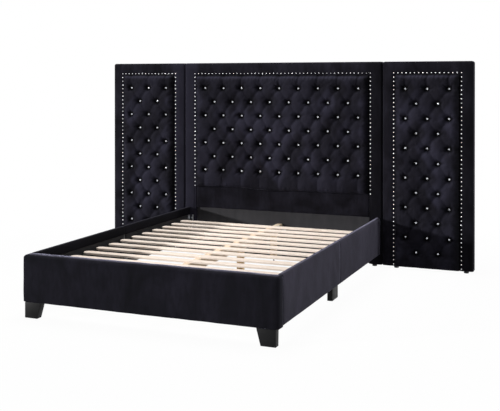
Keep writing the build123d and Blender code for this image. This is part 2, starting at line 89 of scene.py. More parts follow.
TOP_ROW = 1350.0  # highest row of buttons
DROP = 110.5  # from row to row
HEAD_PITCH = 160.0  # from button to button along a row
WING_PITCH = 162.0
DIMPLE = 29.0  # crown of a pad to the floor under a button
ROLL = 38.0  # radius of a pad's edges
FLAT, SLOPE = 7, 44  # radius of a dimple's flat floor, and the width of the slope round it
SHARP = 5  # how clearly one fold stands out from the next, as a power
OVERHANG = 4.0  # how far a pillow hangs over the crease below it
PUCKERS = (1.1, 1.1, 1.9, 0.5)  # their size along a pad's left, right, top and lower edge
SOFT_GAP = 0.3  # clearance of a pad in its border
FINE = 14  # points of a pad's grid from one row of buttons to the next
STEP_ACROSS, STEP_UP = 5.6, 7.0  # its steps between the outer buttons and the rolled edges
NAIL_PITCH = 31.3
NAIL_ROW = PANEL_TOP - 85  # height of the top rows of nails
HEAD_NAIL_INSET = 90.0  # the panel's side to its column of nails
WING_NAIL_INSET = 84.0
CORNER, FRONT_BEND = 16.0, 13  # radii of a panel's upper corners and of its border's front edge
TURN_IN = 61.0  # how far the velvet is folded in over a panel's back
HEM = 60.0  # how far it comes down the inside of a rail

# Pleats: how deep at a button, half way and at the far end, and how wide to each side
BETWEEN_BUTTONS = (23, 5.0, 23, 50)
UP_TO_EDGE = (20, 8, 10, 46)
DOWN_TO_EDGE = (16, 3.5, 4, 44)
OUT_TO_EDGE = (18, 8, 9, 44)

# Settling: how far the velvet may move, its filling's push, its slack and the frames it takes
PAD_CAP, PAD_PUSH, PAD_SLACK, PAD_FRAMES = 6.0, 4.0, 0.02, 20

# How far the nap of one pillow may stand up, and the painted shade in the creases round a button:
# the turn, the length and the width of each
NAP_STANDS = (0.04, 0.16, 0.42, 0.7)
PAINTED_CREASE_SHADE = ((0.25, 19, 9), (3.75, 19, 8), (2.4, 12, 6), (5.6, 13, 6))

# Painted sheen (above 0) and painted shade (below 0) on the left and right sides of the headboard's, left
# wing's and right wing's borders
BORDER_PAINTED_SHEEN_AND_SHADE = ((0.45, -0.55), (0.0, 0.35), (0.0, -0.5))


# Colours, nodes and materials


def linear(colour):
    """The shader's linear colour for an sRGB hex value."""
    parts = [int(colour[k:k + 2], 16) / 255 for k in (1, 3, 5)]
    return [p / 12.92 if p <= 0.04045 else ((p + 0.055) / 1.055) ** 2.4 for p in parts] + [1.0]


def add(tree, kind, inputs=None, stops=(), **settings):
    """Adds one node: its settings, its colour ramp's stops, then its inputs by name or number.

    An input is a value, a hex colour, an output, a node, which stands for its first output in use,
    or a list of nodes where one input takes several."""
    new = tree.nodes.new(kind)
    for name, value in settings.items():
        setattr(new, name, value)
    for stop, (position, colour) in enumerate(stops):
        new.color_ramp.elements[stop].position = position
        new.color_ramp.elements[stop].color = linear(colour)
    for name, values in (inputs or {}).items():
        socket = new.inputs[name] if isinstance(name, int) else next(
            s for s in new.inputs if s.enabled and s.name == name)
        for value in values if isinstance(values, list) else [values]:
            if isinstance(value, bpy.types.Node):
                value = next(s for s in value.outputs if s.enabled)
            if isinstance(value, bpy.types.NodeSocket):
                tree.links.new(value, socket)
            else:
                socket.default_value = linear(value) if str(value).startswith("#") else value
    return new


def cleared(owner):
    """The node tree of a material or a world, empty."""
    owner.use_nodes = True
    owner.node_tree.nodes.clear()
    return owner.node_tree


def material(name, build, **shader):
    """A material with one Principled shader, whose linked inputs the build function makes.

    The build function gets the tree and the Object coordinates, and returns the links by name."""
    mat = bpy.data.materials.new(name)
    tree = cleared(mat)
    place = add(tree, "ShaderNodeTexCoord").outputs["Object"]
    fixed = {k.replace("_", " "): v for k, v in shader.items()}
    surface = add(tree, "ShaderNodeBsdfPrincipled", fixed | build(tree, place))
    add(tree, "ShaderNodeOutputMaterial", {"Surface": surface})
    return mat


def per(size):
    """A texture's scale for features of this size in millimetres."""
    return 1000 / size


def velvet(name, deep, lit, sheen):
    """Cut-pile polyester velvet: nearly black face on, with a cool sheen where it turns away.

    The nap lies in patches that hands have brushed, so its tone drifts. A piece's nap attribute
    lightens it, as a random tone of each pillow and as painted sheen and painted highlight, and its
    pressed attribute blackens it as painted shade. The pile itself is under half a millimetre, so it is drawn
    as coarse as 3 mm, as a soft grain."""
    def build(tree, place):
        tall = add(tree, "ShaderNodeMapping", {"Vector": place, "Scale": (1, 1, 0.67)})
        brushed = add(tree, "ShaderNodeTexNoise", {"Vector": tall, "Scale": per(210), "Detail": 3.0,
                                                   "Roughness": 0.55, "Distortion": 0.8})
        base = add(tree, "ShaderNodeValToRGB", {"Fac": brushed}, ((0.3, deep), (0.7, lit)))
        drawn = add(tree, "ShaderNodeMapping", {"Vector": place, "Scale": (1, 1, 0.31)})
        streaks = add(tree, "ShaderNodeTexNoise", {"Vector": drawn, "Scale": per(26), "Detail": 2.0,
                                                   "Roughness": 0.6})
        dulled = add(tree, "ShaderNodeMapRange", {"Value": streaks, "From Min": 0.42, "From Max": 0.7,
                                                  "To Max": 0.55})
        nap, pressed = [add(tree, "ShaderNodeAttribute", attribute_name=mark).outputs["Fac"]
                        for mark in ("nap", "pressed")]
        # The nap attribute mixes in a lighter tone, partly random tone and partly painted sheen; the pressed
        # attribute mixes in near black as painted shade
        for share, tone in ((dulled, deep), (nap, "#2b2a36"), (pressed, "#030304")):
            base = add(tree, "ShaderNodeMix", {"Factor": share, "A": base, "B": tone}, data_type="RGBA")
        crushed = add(tree, "ShaderNodeTexNoise", {"Vector": tall, "Scale": per(17), "Detail": 2.0})
        under = add(tree, "ShaderNodeBump", {"Height": crushed, "Distance": 0.0011, "Strength": 0.35})
        pile = add(tree, "ShaderNodeTexNoise", {"Vector": place, "Scale": per(3), "Detail": 2.0})
        soft = add(tree, "ShaderNodeBump", {"Height": pile, "Distance": 0.0005, "Strength": 0.4,
                                            "Normal": under})
        return {"Base Color": base, "Normal": soft}
    return material(name, build, Roughness=0.9, IOR=1.45, Specular_IOR_Level=0.06, Sheen_Weight=sheen,
                    Sheen_Roughness=0.22, Sheen_Tint="#a3a1b8")


def woven(name, warp, weft, drawn, roughness, sheen=0.15):
    """Plain cloth: threads over and under each other, matt, with slubs along them.

    Its threads are under half a millimetre. They are drawn coarser, at about six times the size
    given, because a Wave texture turns by 20 radians in one unit."""
    def build(tree, place):
        across, upright = [add(tree, "ShaderNodeTexWave", {
            "Vector": place, "Scale": per(drawn) / 20, "Distortion": 0.6, "Detail": 1.0},
            bands_direction=direction).outputs["Fac"] for direction in ("X", "Z")]
        cross = add(tree, "ShaderNodeMath", {0: across, 1: upright}, operation="MULTIPLY")
        along = add(tree, "ShaderNodeMapping", {"Vector": place, "Scale": (1, 1, 0.25)})
        slub = add(tree, "ShaderNodeTexNoise", {"Vector": along, "Scale": per(60), "Detail": 3.0})
        base = add(tree, "ShaderNodeValToRGB", {"Fac": slub}, ((0.3, warp), (0.7, weft)))
        gaps = add(tree, "ShaderNodeMapRange", {"Value": cross, "To Min": 0.25, "To Max": 0.0})
        base = add(tree, "ShaderNodeMix", {"Factor": gaps, "A": base, "B": "#08080a"}, data_type="RGBA")
        weave = add(tree, "ShaderNodeBump", {"Height": cross, "Distance": 0.0003, "Strength": 0.5})
        return {"Base Color": base, "Normal": weave}
    return material(name, build, Roughness=roughness, Specular_IOR_Level=0.2, Sheen_Weight=sheen,
                    Sheen_Roughness=0.5)


def timber(name, pale, late, knots, roughness, grain_axis, growth):
    """Cut softwood: long drawn growth rings, darker late wood, fine pores and a few knots.

    The knots lie about 300 mm apart across the grain. The pores are drawn as coarse as 1.6 mm, and
    a piece's tone attribute darkens it as a whole."""
    def build(tree, place):
        drawn, knotty = [add(tree, "ShaderNodeMapping", {"Vector": place, "Scale": tuple(
            stretch if axis == grain_axis else 1 for axis in range(3))}) for stretch in (0.045, 0.34)]
        wander = add(tree, "ShaderNodeTexNoise", {"Vector": drawn, "Scale": per(90), "Detail": 2.0})
        bent = add(tree, "ShaderNodeVectorMath", {0: drawn, 1: wander}, operation="ADD")
        rings = add(tree, "ShaderNodeTexNoise", {"Vector": bent, "Scale": per(growth), "Detail": 3.0,
                                                 "Roughness": 0.6})
        base = add(tree, "ShaderNodeValToRGB", {"Fac": rings}, ((0.36, late), (0.56, pale)))
        tone = add(tree, "ShaderNodeAttribute", attribute_name="tone").outputs["Fac"]
        darker = add(tree, "ShaderNodeMath", {0: tone, 1: 0.28}, operation="MULTIPLY")
        knot = add(tree, "ShaderNodeTexVoronoi", {"Vector": knotty, "Scale": per(294)})
        eye = add(tree, "ShaderNodeMapRange", {"Value": knot, "From Min": 0.02, "From Max": 0.045,
                                               "To Min": 0.75, "To Max": 0.0})
        fine = add(tree, "ShaderNodeTexNoise", {"Vector": drawn, "Scale": per(1.6), "Detail": 2.0})
        pores = add(tree, "ShaderNodeMapRange", {"Value": fine, "From Min": 0.5, "From Max": 0.75,
                                                 "To Max": 0.25})
        for share, colour in ((darker, late), (eye, knots), (pores, late)):
            base = add(tree, "ShaderNodeMix", {"Factor": share, "A": base, "B": colour}, data_type="RGBA")
        rough = add(tree, "ShaderNodeMapRange", {"Value": rings, "From Min": 0.3, "From Max": 0.7,
                                                 "To Min": roughness + 0.1, "To Max": roughness - 0.08})
        grain = add(tree, "ShaderNodeBump", {"Height": fine, "Distance": 0.00025, "Strength": 0.5})
        return {"Base Color": base, "Roughness": rough, "Normal": grain}
    return material(name, build, Specular_IOR_Level=0.35)


def metal(name, bright, dull, roughness, size):
    """Bright metal with a drift of tone and fine marks of its finishing, drawn as coarse as 1.5 mm."""
    def build(tree, place):
        tone = add(tree, "ShaderNodeTexNoise", {"Vector": place, "Scale": per(size), "Detail": 3.0})
        base = add(tree, "ShaderNodeValToRGB", {"Fac": tone}, ((0.3, dull), (0.7, bright)))
        marks = add(tree, "ShaderNodeTexNoise", {"Vector": place, "Scale": per(1.5), "Detail": 2.0})
        rough = add(tree, "ShaderNodeMapRange", {"Value": marks, "From Min": 0.3, "From Max": 0.7,
                                                 "To Min": roughness - 0.06, "To Max": roughness + 0.08})
        fine = add(tree, "ShaderNodeBump", {"Height": marks, "Distance": 0.00008, "Strength": 0.4})
        return {"Base Color": base, "Roughness": rough, "Normal": fine}
    return material(name, build, Metallic=1.0)


def coated(name, deep, dusty, dust, roughness, grain, drawn, **shader):
    """A black finish: a grain in its surface, and a drift of dust that dulls and lightens it."""
    def build(tree, place):
        settled_dust = add(tree, "ShaderNodeTexNoise", {"Vector": place, "Scale": per(dust), "Detail": 4.0})
        base = add(tree, "ShaderNodeValToRGB", {"Fac": settled_dust}, ((0.3, deep), (0.7, dusty)))
        rough = add(tree, "ShaderNodeMapRange", {"Value": settled_dust, "From Min": 0.3, "From Max": 0.7,
                                                 "To Min": roughness - 0.08, "To Max": roughness + 0.08})
        along = add(tree, "ShaderNodeMapping", {"Vector": place, "Scale": (1, 1, drawn)})
        fine = add(tree, "ShaderNodeTexNoise", {"Vector": along, "Scale": per(grain), "Detail": 2.0})
        rise = add(tree, "ShaderNodeBump", {"Height": fine, "Distance": 0.00012, "Strength": 0.4})
        return {"Base Color": base, "Roughness": rough, "Normal": rise}
    return material(name, build, **shader)


def faceted(tree, place):
    """The clear facets of a cut button, which flash white or show the dark cloth."""
    depth = add(tree, "ShaderNodeTexNoise", {"Vector": place, "Scale": per(6), "Detail": 2.0})
    base = add(tree, "ShaderNodeValToRGB", {"Fac": depth}, ((0.3, "#8f919a"), (0.7, "#eceef2")))
    rough = add(tree, "ShaderNodeMapRange", {"Value": depth, "From Min": 0.3, "From Max": 0.7,
                                             "To Min": 0.05, "To Max": 0.16})
    return {"Base Color": base, "Roughness": rough}


pad_velvet = velvet("crushed pile velvet on the tufting", "#0e0d12", "#1d1c23", 0.22)
border_velvet = velvet("pile velvet on the borders", "#0b0a0e", "#201f27", 0.3)
rail_velvet = velvet("pile velvet on the rails", "#0f0f13", "#1d1c24", 0.9)
# Lit and shaded copies of the rail velvet: a lighter base is painted light on the right rail, a darker base
# with little sheen is painted shade on the left rail
painted_light_velvet = velvet("pile velvet, lightened by painted light", "#2a2930", "#37353f", 0.9)
shaded_velvet = velvet("pile velvet, darkened by painted shade", "#0a0a0d", "#131217", 0.12)
lining_cloth = woven("woven grey lining", "#29282b", "#343336", 1.4, 0.85)
# Bonded polypropylene has no threads: its pressed fibres give a dull, faintly barred black
dust_cloth = woven("non-woven dust cloth", "#141416", "#1f1f22", 1.0, 0.9, 0.05)
# The grain runs along X on the slats and ply, Y on the rails and beam, and Z on the frames
slat_pine = timber("planed pine of the slats", "#f2e6dc", "#dfcbb9", "#a58562", 0.62, 0, 11.0)
plywood = timber("poplar plywood faces", "#dfc294", "#c39a62", "#8a6238", 0.7, 0, 14.0)
beam_pine = timber("sawn pine along the bed", "#ead8c0", "#cdb08c", "#8a6844", 0.78, 1, 8.0)
frame_pine = timber("sawn pine of the frames", "#e6cba0", "#c79c64", "#7d5230", 0.78, 2, 8.0)
zinc = metal("bright zinc plate on pressed steel", "#d3d5d8", "#a9adb3", 0.3, 22)
nickel = metal("polished nickel of the nails", "#f4f4f6", "#d8d8dc", 0.34, 9)
# Satin black lacquer on beech: a smooth film over closed grain, so it is dark with soft glints
black_lacquer = coated("satin black lacquer", "#070708", "#0d0d0f", 45, 0.5, 2.2, 0.07,
                       Specular_IOR_Level=0.12, IOR=1.5)
# Injection-moulded polypropylene: matt, with a fine spark-eroded grain, drawn as coarse as 1.3 mm
black_plastic = coated("moulded black polypropylene", "#111113", "#1c1c1f", 14, 0.54, 1.3, 1.0,
                       Specular_IOR_Level=0.4, IOR=1.49)
# Cut acrylic with a mirror back: metal under a clear coat stands for the mirror behind the facets
cut_crystal = material("mirror-backed cut crystal", faceted, Metallic=0.85, IOR=1.5, Coat_Weight=1.0,
                       Coat_Roughness=0.02)


# Making meshes


def placed(name, data):
    """A new object in the scene, at the origin."""
    made = bpy.data.objects.new(name, data)
    scene.collection.objects.link(made)
    return made


def mended(mesh, near, smooth, mend):
    """Merges a mesh's points that are this near, in metres, mends it and shades it."""
    work = bmesh.new()
    work.from_mesh(mesh)
    bmesh.ops.remove_doubles(work, verts=work.verts, dist=near)
    mend(work)
    for face in work.faces:
        face.smooth = smooth
    work.to_mesh(mesh)
    work.free()


def piece(name, points, faces, mat, smooth=True):
    """A mesh object from points in millimetres, its normals out and its place in its mesh."""
    mesh = bpy.data.meshes.new(name)
    mesh.from_pydata((np.asarray(points, float) / 1000).tolist(), [], [tuple(f) for f in faces])
    mesh.materials.append(mat)
    mended(mesh, 0.00001, smooth, lambda work: bmesh.ops.recalc_face_normals(work, faces=work.faces))
    return placed(name, mesh)


def points_of(made):
    """A piece's points in millimetres, as x, y and z."""
    where = np.empty(3 * len(made.data.vertices))
    made.data.vertices.foreach_get("co", where)
    return where.reshape(-1, 3).T * 1000


def marked(made, name, values):
    """Stores one value per point, for the material to read."""
    layer = made.data.attributes.new(name, "FLOAT", "POINT")
    layer.data.foreach_set("value", np.asarray(values, np.float32).ravel())


def dress(made, slot, *replaced, body="bed"):
    """A finished piece: what it rides on, and the CAD nodes that it stands for, which it hides. Its slot is
    not used.
    """
    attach(made, body)
    if replaced:
        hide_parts(*replaced)


def applied(made):
    """The piece's mesh with its modifiers applied and taken off."""
    mesh = bpy.data.meshes.new_from_object(made.evaluated_get(bpy.context.evaluated_depsgraph_get()))
    made.modifiers.clear()
    made.data = mesh


def bevelled(made, width, segments):
    """Eases a piece's sharp edges by a Bevel, applied."""
    bevel = made.modifiers.new("eased edges", "BEVEL")
    bevel.width, bevel.segments = width / 1000, segments
    bevel.limit_method, bevel.angle_limit = "ANGLE", math.radians(35)
    applied(made)


def strips(rows, columns, around_rows=False, around_columns=False):
    """Quads of a grid of points in row order, closed round either way where asked."""
    faces = []
    for i in range(rows if around_rows else rows - 1):
        for j in range(columns if around_columns else columns - 1):
            k, m = (i + 1) % rows, (j + 1) % columns
            faces.append((i * columns + j, i * columns + m, k * columns + m, k * columns + j))
    return faces


def rim(rows, columns):
    """The numbers of the points round the edge of a grid, in order."""
    grid = np.arange(rows * columns).reshape(rows, columns)
    return list(grid[0]) + list(grid[1:, -1]) + list(grid[-1, -2::-1]) + list(grid[-2:0:-1, 0])


def ring(radius, height, sides, turn=0.0):
    """A level ring of points about Z, turned by a share of one side."""
    return [(radius * math.cos(TAU * (k + turn) / sides), radius * math.sin(TAU * (k + turn) / sides), height)
            for k in range(sides)]


def drum(rings, sides, first=0):
    """Faces of rings set one on another, closed below and above, from a first point's number."""
    faces = strips(rings, sides, around_columns=True)
    faces += [tuple(range(sides))[::-1], tuple((rings - 1) * sides + k for k in range(sides))]
    return [tuple(first + k for k in face) for face in faces]


def drift(x, z, size, seed, layers=7):
    """A smooth wandering height between about -1 and 1 over places in millimetres."""
    chance = np.random.default_rng(seed)
    total = np.zeros(np.broadcast(x, z).shape)
    for _ in range(layers):
        turn, phase = chance.uniform(0, TAU, 2)
        wave = TAU / (size * chance.uniform(0.6, 1.7))
        total = total + np.sin(wave * (np.cos(turn) * x + np.sin(turn) * z) + phase)
    return total / math.sqrt(layers)


def eased(node, width, mat, slot, segments=2):
    """A node's own shape with eased edges and a finish, in the node's place."""
    mesh = nodes[node].data.copy()
    mended(mesh, 0.00002, True, lambda work: bmesh.ops.dissolve_limit(
        work, angle_limit=math.radians(1), verts=work.verts, edges=work.edges))
    mesh.materials.clear()
    mesh.materials.append(mat)
    made = placed(node + "_eased", mesh)
    bevelled(made, width, segments)
    made.data.set_sharp_from_angle(angle=math.radians(40))
    dress(made, slot, node)


# Soft boxes: closed padded forms with their own rounding on every side


def marks_along(start, end, first, last, step):
    """Places from start to end, close together in the rounded margins at both ends."""
    turns = [1 - math.cos(math.radians(18 * k)) for k in range(6)]
    rising = [start + first * t for t in turns]
    falling = [end - last * t for t in reversed(turns)]
    count = max(2, round((falling[0] - rising[-1]) / step))
    middle = np.linspace(rising[-1], falling[0], count + 1)[1:-1]
    return np.array(rising + list(middle) + falling)


def soft_box(name, lo, hi, margins, mat, step, crown, uneven, seed, warp=None):
    """A padded block: rounded by a margin on each of its six sides, crowned, a little uneven."""
    lo, hi, m0, m1 = [np.array(v, float) for v in (lo, hi, *margins)]
    axes = [marks_along(lo[k], hi[k], m0[k], m1[k], step) for k in range(3)]
    points, faces, start = [], [], 0
    for fixed in range(3):
        u, v = [k for k in range(3) if k != fixed]
        for end in (lo, hi):
            grid = np.zeros((len(axes[u]), len(axes[v]), 3))
            grid[..., u] = axes[u][:, None]
            grid[..., v] = axes[v][None, :]
            grid[..., fixed] = end[fixed]
            points.append(grid.reshape(-1, 3))
            faces += [tuple(start + k for k in f) for f in strips(*grid.shape[:2])]
            start += len(points[-1])
    points = np.concatenate(points)
    core = np.clip(points, lo + m0, hi - m1)
    away = points - core
    reach = np.where(away < 0, m0, m1)
    outward = away / reach
    outward = outward / np.maximum(np.linalg.norm(outward, axis=1, keepdims=True), 1)
    points = core + outward * reach
    bulge = 1 - np.abs(2 * (points - lo) / (hi - lo) - 1) ** 6
    for k in range(3):
        u, v = [j for j in range(3) if j != k]
        swell = np.sign(outward[:, k]) * np.abs(outward[:, k]) ** 3 * crown[k]
        points[:, k] += swell * bulge[:, u] * bulge[:, v]
    wander = drift(points[:, 0] + 0.7 * points[:, 1], points[:, 2] + 0.3 * points[:, 1], 150, seed)
    points += outward * (uneven * wander)[:, None]
    return piece(name, points if warp is None else warp(points), faces, mat)


# Tufted pads


def closest(x, z, start, end):
    """Distance of places from a line between two points, and the share of the way along it."""
    ux, uz = end[0] - start[0], end[1] - start[1]
    share = np.clip(((x - start[0]) * ux + (z - start[1]) * uz) / (ux * ux + uz * uz), 0, 1)
    return np.hypot(x - start[0] - share * ux, z - start[1] - share * uz), share


def edge_steps(margin, roll, step):
    """Steps in from a pad's edge: even in angle round the roll, then even in length."""
    turns = np.radians(np.linspace(0, 90, 9))
    count = max(1, round((margin - roll) / step))
    return np.concatenate([roll * (1 - np.cos(turns)), np.linspace(roll, margin, count + 1)[1:]])


def seam_wave(x):
    """How far the sewn seam under the headboard's pad wanders from a straight line."""
    return (6.0 * np.exp(-((x + 380) / 190) ** 2) - 8.0 * np.exp(-((x + 60) / 150) ** 2)
            + 1.5 * np.sin(x / 95.0))


def settled(name, sheet, held):
    """How far a grid of velvet moves as it settles on its filling, in millimetres at each point.

    A short Cloth run on every second point of the grid: the velvet is cut with some slack, the
    filling pushes it out, its held places stay, and no point moves past the cap."""
    down, across = [np.unique(np.append(np.arange(0, n, 2), n - 1)) for n in sheet.shape[:2]]
    start = sheet[np.ix_(down, across)].reshape(-1, 3) / 1000
    mesh = bpy.data.meshes.new(name)
    mesh.from_pydata(start.tolist(), [], strips(len(down), len(across)))
    trial = placed(name, mesh)
    group = trial.vertex_groups.new(name="held")
    weights = held[np.ix_(down, across)].ravel()
    for weight in np.unique(weights):
        group.add(np.flatnonzero(weights == weight).tolist(), float(weight), "REPLACE")
    cloth = trial.modifiers.new("settling", "CLOTH")
    cloth.settings.vertex_group_mass = "held"
    cloth.settings.quality = 5
    cloth.settings.use_pressure = True
    cloth.settings.uniform_pressure_force = PAD_PUSH
    cloth.settings.shrink_min = -PAD_SLACK
    cloth.settings.effector_weights.gravity = 0
    cloth.collision_settings.use_collision = False
    cloth.point_cache.frame_end = PAD_FRAMES
    for moment in range(1, PAD_FRAMES + 1):
        scene.frame_set(moment)
    after = np.empty(start.size)
    trial.evaluated_get(bpy.context.evaluated_depsgraph_get()).data.vertices.foreach_get("co", after)
    bpy.data.objects.remove(trial)
    scene.frame_set(1)
    move = (after.reshape(-1, 3) - start) * 1000
    far = np.linalg.norm(move, axis=1, keepdims=True)
    move = np.round(move * np.tanh(far / PAD_CAP) * PAD_CAP / np.maximum(far, 1e-6), 2)
    move = move.reshape(len(down), len(across), 3)
    rows, columns = [np.arange(n) for n in sheet.shape[:2]]
    wide = np.stack([[np.interp(columns, across, line[:, k]) for line in move] for k in range(3)], -1)
    return np.stack([[np.interp(rows, down, wide[:, c, k]) for c in columns] for k in range(3)],
                    -1).transpose(1, 0, 2)


def tufted_pad(name, middle, half, top, bottom, pitch, columns, rows, lower_roll, seed, wavy):
    """A pad drawn down by rows of buttons, with creased pleats along the diagonals between them."""
    reach = pitch * (columns - 1) / 2
    last_row = TOP_ROW - (rows - 1) * DROP
    side = edge_steps(half - reach, ROLL, STEP_ACROSS)
    xs = np.concatenate([-half + side, np.linspace(-reach, reach, FINE * (columns - 1) * 2 + 1)[1:-1],
                         (half - side)[::-1]])
    zs = np.concatenate([bottom + edge_steps(last_row - bottom, lower_roll, STEP_UP),
                         np.linspace(last_row, TOP_ROW, FINE * (rows - 1) + 1)[1:-1],
                         (top - edge_steps(top - TOP_ROW, ROLL, STEP_UP))[::-1]])
    x, z = np.meshgrid(xs, zs)
    spots = [[(pitch * (i - (columns - 1 - j % 2) / 2), TOP_ROW - j * DROP) for i in range(columns - j % 2)]
             for j in range(rows)]
    buttons = [spot for row in spots for spot in row]
    chance = np.random.default_rng(seed)
    total = np.zeros_like(x)

    def press(depth, distance, width, power):
        """Adds one fold or dimple to the sum of powers that stands for a soft maximum."""
        nonlocal total
        total = total + (depth * np.clip(1 - distance / width, 0, 1) ** power) ** SHARP

    def crease(start, end, deep_start, deep_mid, deep_end, width):
        """Adds one pleat along a line, its depth from end to end."""
        away, share = closest(x, z, start, end)
        curve = deep_mid + (deep_start - deep_mid) * (1 - share) ** 3 + (deep_end - deep_mid) * share ** 3
        press(curve * chance.uniform(0.88, 1.1), away, width, 2.0)

    for row, below in zip(spots, spots[1:]):
        for spot in row:
            for other in below:
                if abs(other[0] - spot[0]) < pitch * 0.6:
                    crease(spot, other, *BETWEEN_BUTTONS)
    for spot in spots[0]:
        crease(spot, (spot[0], top), *UP_TO_EDGE)
    for spot in spots[-1]:
        crease(spot, (spot[0], bottom), *DOWN_TO_EDGE)
    for row in spots[::2]:
        crease(row[0], (-half, row[0][1]), *OUT_TO_EDGE)
        crease(row[-1], (half, row[-1][1]), *OUT_TO_EDGE)
    folds = total.copy()
    for bx, bz in buttons:
        turn = np.arctan2(z - bz, x - bx)
        frill = (1 + 0.10 * np.sin(7 * turn + chance.uniform(0, TAU))
                 + 0.07 * np.sin(11 * turn + chance.uniform(0, TAU)))
        press(DIMPLE + 6, np.maximum(np.hypot(x - bx, z - bz) * frill - FLAT, 0), SLOPE, 1.6)
    pressed = np.minimum(total ** (1 / SHARP), DIMPLE)

    # Puckers along the edges, where the cloth is gathered under the nails
    edges = x + half, half - x, top - z, z - bottom  # how far in from the left, right, top and bottom
    pucker = 0.0
    for inward, along, size in zip(edges, (z, z, x, x), PUCKERS):
        ripple = np.sin(TAU * along / NAIL_PITCH + 1.4 * drift(along, 0 * along, 240, seed + 3))
        ripple = ripple + 0.6 * np.sin(TAU * along / 17.0 + drift(along, 0 * along, 170, seed + 4))
        pucker = pucker + size * ripple * np.exp(-((inward - 16) / 20) ** 2)
    relief = 0.8 * drift(x, z, 95, seed + 5) + 0.35 * drift(x, z, 30, seed + 6)
    height = CROWN + pressed + (pucker + relief) * np.clip(1 - pressed / DIMPLE, 0, 1)

    # The rolled edges
    falls = []
    for inward, radius in zip(edges, (ROLL, ROLL, ROLL, lower_roll)):
        turned = np.clip(1 - inward / radius, 0, 1)
        falls.append(radius * (1 - np.sqrt(np.maximum(1 - turned ** 2, 0))))
    corner = (falls[0] ** 4 + falls[1] ** 4 + falls[2] ** 4 + falls[3] ** 4) ** 0.25
    fall = np.minimum(np.maximum(np.maximum.reduce(falls), corner), ROLL)
    y = height + fall * (1 - 0.35 * pressed / DIMPLE)

    # Each upper pillow hangs a little over the crease below it
    overlap = np.clip(folds ** (1 / SHARP) / BETWEEN_BUTTONS[0], 0, 1)
    z = z - OVERHANG * overlap * np.clip(np.minimum(edges[2], edges[3]) / 40, 0, 1)
    if wavy:
        z = z + seam_wave(x) * np.exp(-np.clip(z - bottom, 0, None) / 60)

    # Buttons and tacked edges hold the velvet as it settles, and the pleats hold it a little
    tacked = (pressed > 0.82 * DIMPLE) | (np.minimum.reduce(edges) < 12)
    held = np.where(tacked, 1.0, np.where(pressed > 0.3 * DIMPLE, 0.2, 0.0))
    front = np.stack([x + middle, y, z], -1)
    front = (front + settled(name, front, held)).reshape(-1, 3)

    # Faces split along the pleats, side walls and the back
    faces = []
    first, last_up = np.searchsorted(xs, -reach - 1e-6), np.searchsorted(zs, last_row - 1e-6)
    for a, b, d, e in strips(*x.shape):
        r, c = divmod(a, x.shape[1])
        rising = ((c - first) // FINE + rows - 1 - (r - last_up) // FINE) % 2
        faces += [(a, b, d), (a, d, e)] if rising else [(a, b, e), (b, d, e)]
    edge = rim(*x.shape)
    points, previous, count = [front], edge, len(front)
    for depth in (BOARD_FRONT - 10, BOARD_FRONT - 1.5):
        loop = front[edge]
        loop[:, 1] = np.maximum(loop[:, 1] + 0.5, depth)
        points.append(loop)
        current = list(range(count, count + len(edge)))
        count += len(edge)
        faces += zip(previous, current, current[1:] + current[:1], previous[1:] + previous[:1])
        previous = current
    faces.append(tuple(previous[::-1]))
    made = piece(name, np.concatenate(points), faces, pad_velvet)
    pad_tone_and_painted_light(made, middle, half, top, pitch, columns, rows, buttons, chance, seed)
    return made, [(bx + middle, bz) for bx, bz in buttons]


def pad_tone_and_painted_light(made, middle, half, top, pitch, columns, rows, buttons, chance, seed):
    """Each pillow's own random tone of the nap, lighter toward its left side as painted light, a painted
    highlight along the top roll, and painted shade.
    """
    px, py, pz = points_of(made)
    px = px - middle
    total_share, nap = 1e-9, 0.0
    for j in range(-1, rows + 1):
        for i in range(-1, columns + 1):
            cx, cz = pitch * (i - (columns - 1 + j % 2) / 2), TOP_ROW - j * DROP
            u, v = (px - cx) / (pitch / 2), (pz - cz) / DROP
            share = np.exp(-4.5 * (u * u + v * v))
            stand = chance.choice(NAP_STANDS) * (1 if 0 < j < rows else 0.5)
            # Each pillow's random stand of the nap, plus painted light that lightens its left side
            nap = nap + share * (stand + 0.2 * np.clip(-u, -1, 1))
            total_share = total_share + share
    nap = np.clip(nap / total_share, 0, 1)
    # A painted highlight along the rolled top edge, under the nails
    marked(made, "nap", np.maximum(nap, 0.6 * np.exp(-((top - pz - 16) / 13) ** 2)))

    # Painted shade: in the dimples, in the creases round them and along the sides
    dark = np.clip((py - CROWN - 7) / (DIMPLE - 11), 0, 1)
    for bx, bz in buttons:
        for turn, long, wide in PAINTED_CREASE_SHADE:
            turn = turn + chance.uniform(-0.3, 0.3)
            u = (px - bx) * math.cos(turn) + (pz - bz) * math.sin(turn)
            v = (pz - bz) * math.cos(turn) - (px - bx) * math.sin(turn)
            dark = np.maximum(dark, 0.95 * np.exp(-((u - long * 0.7) / long) ** 2 - (v / wide) ** 2))
    for inward, wide, most in ((half - px, 46, 0.75), (px + half, 22, 0.55)):
        ragged = inward + 7 * drift(px, pz, 60, seed + 8)
        dark = np.maximum(dark, most * np.clip(1.4 - ragged / wide, 0, 1))
    marked(made, "pressed", dark)


# Padded borders with their nails


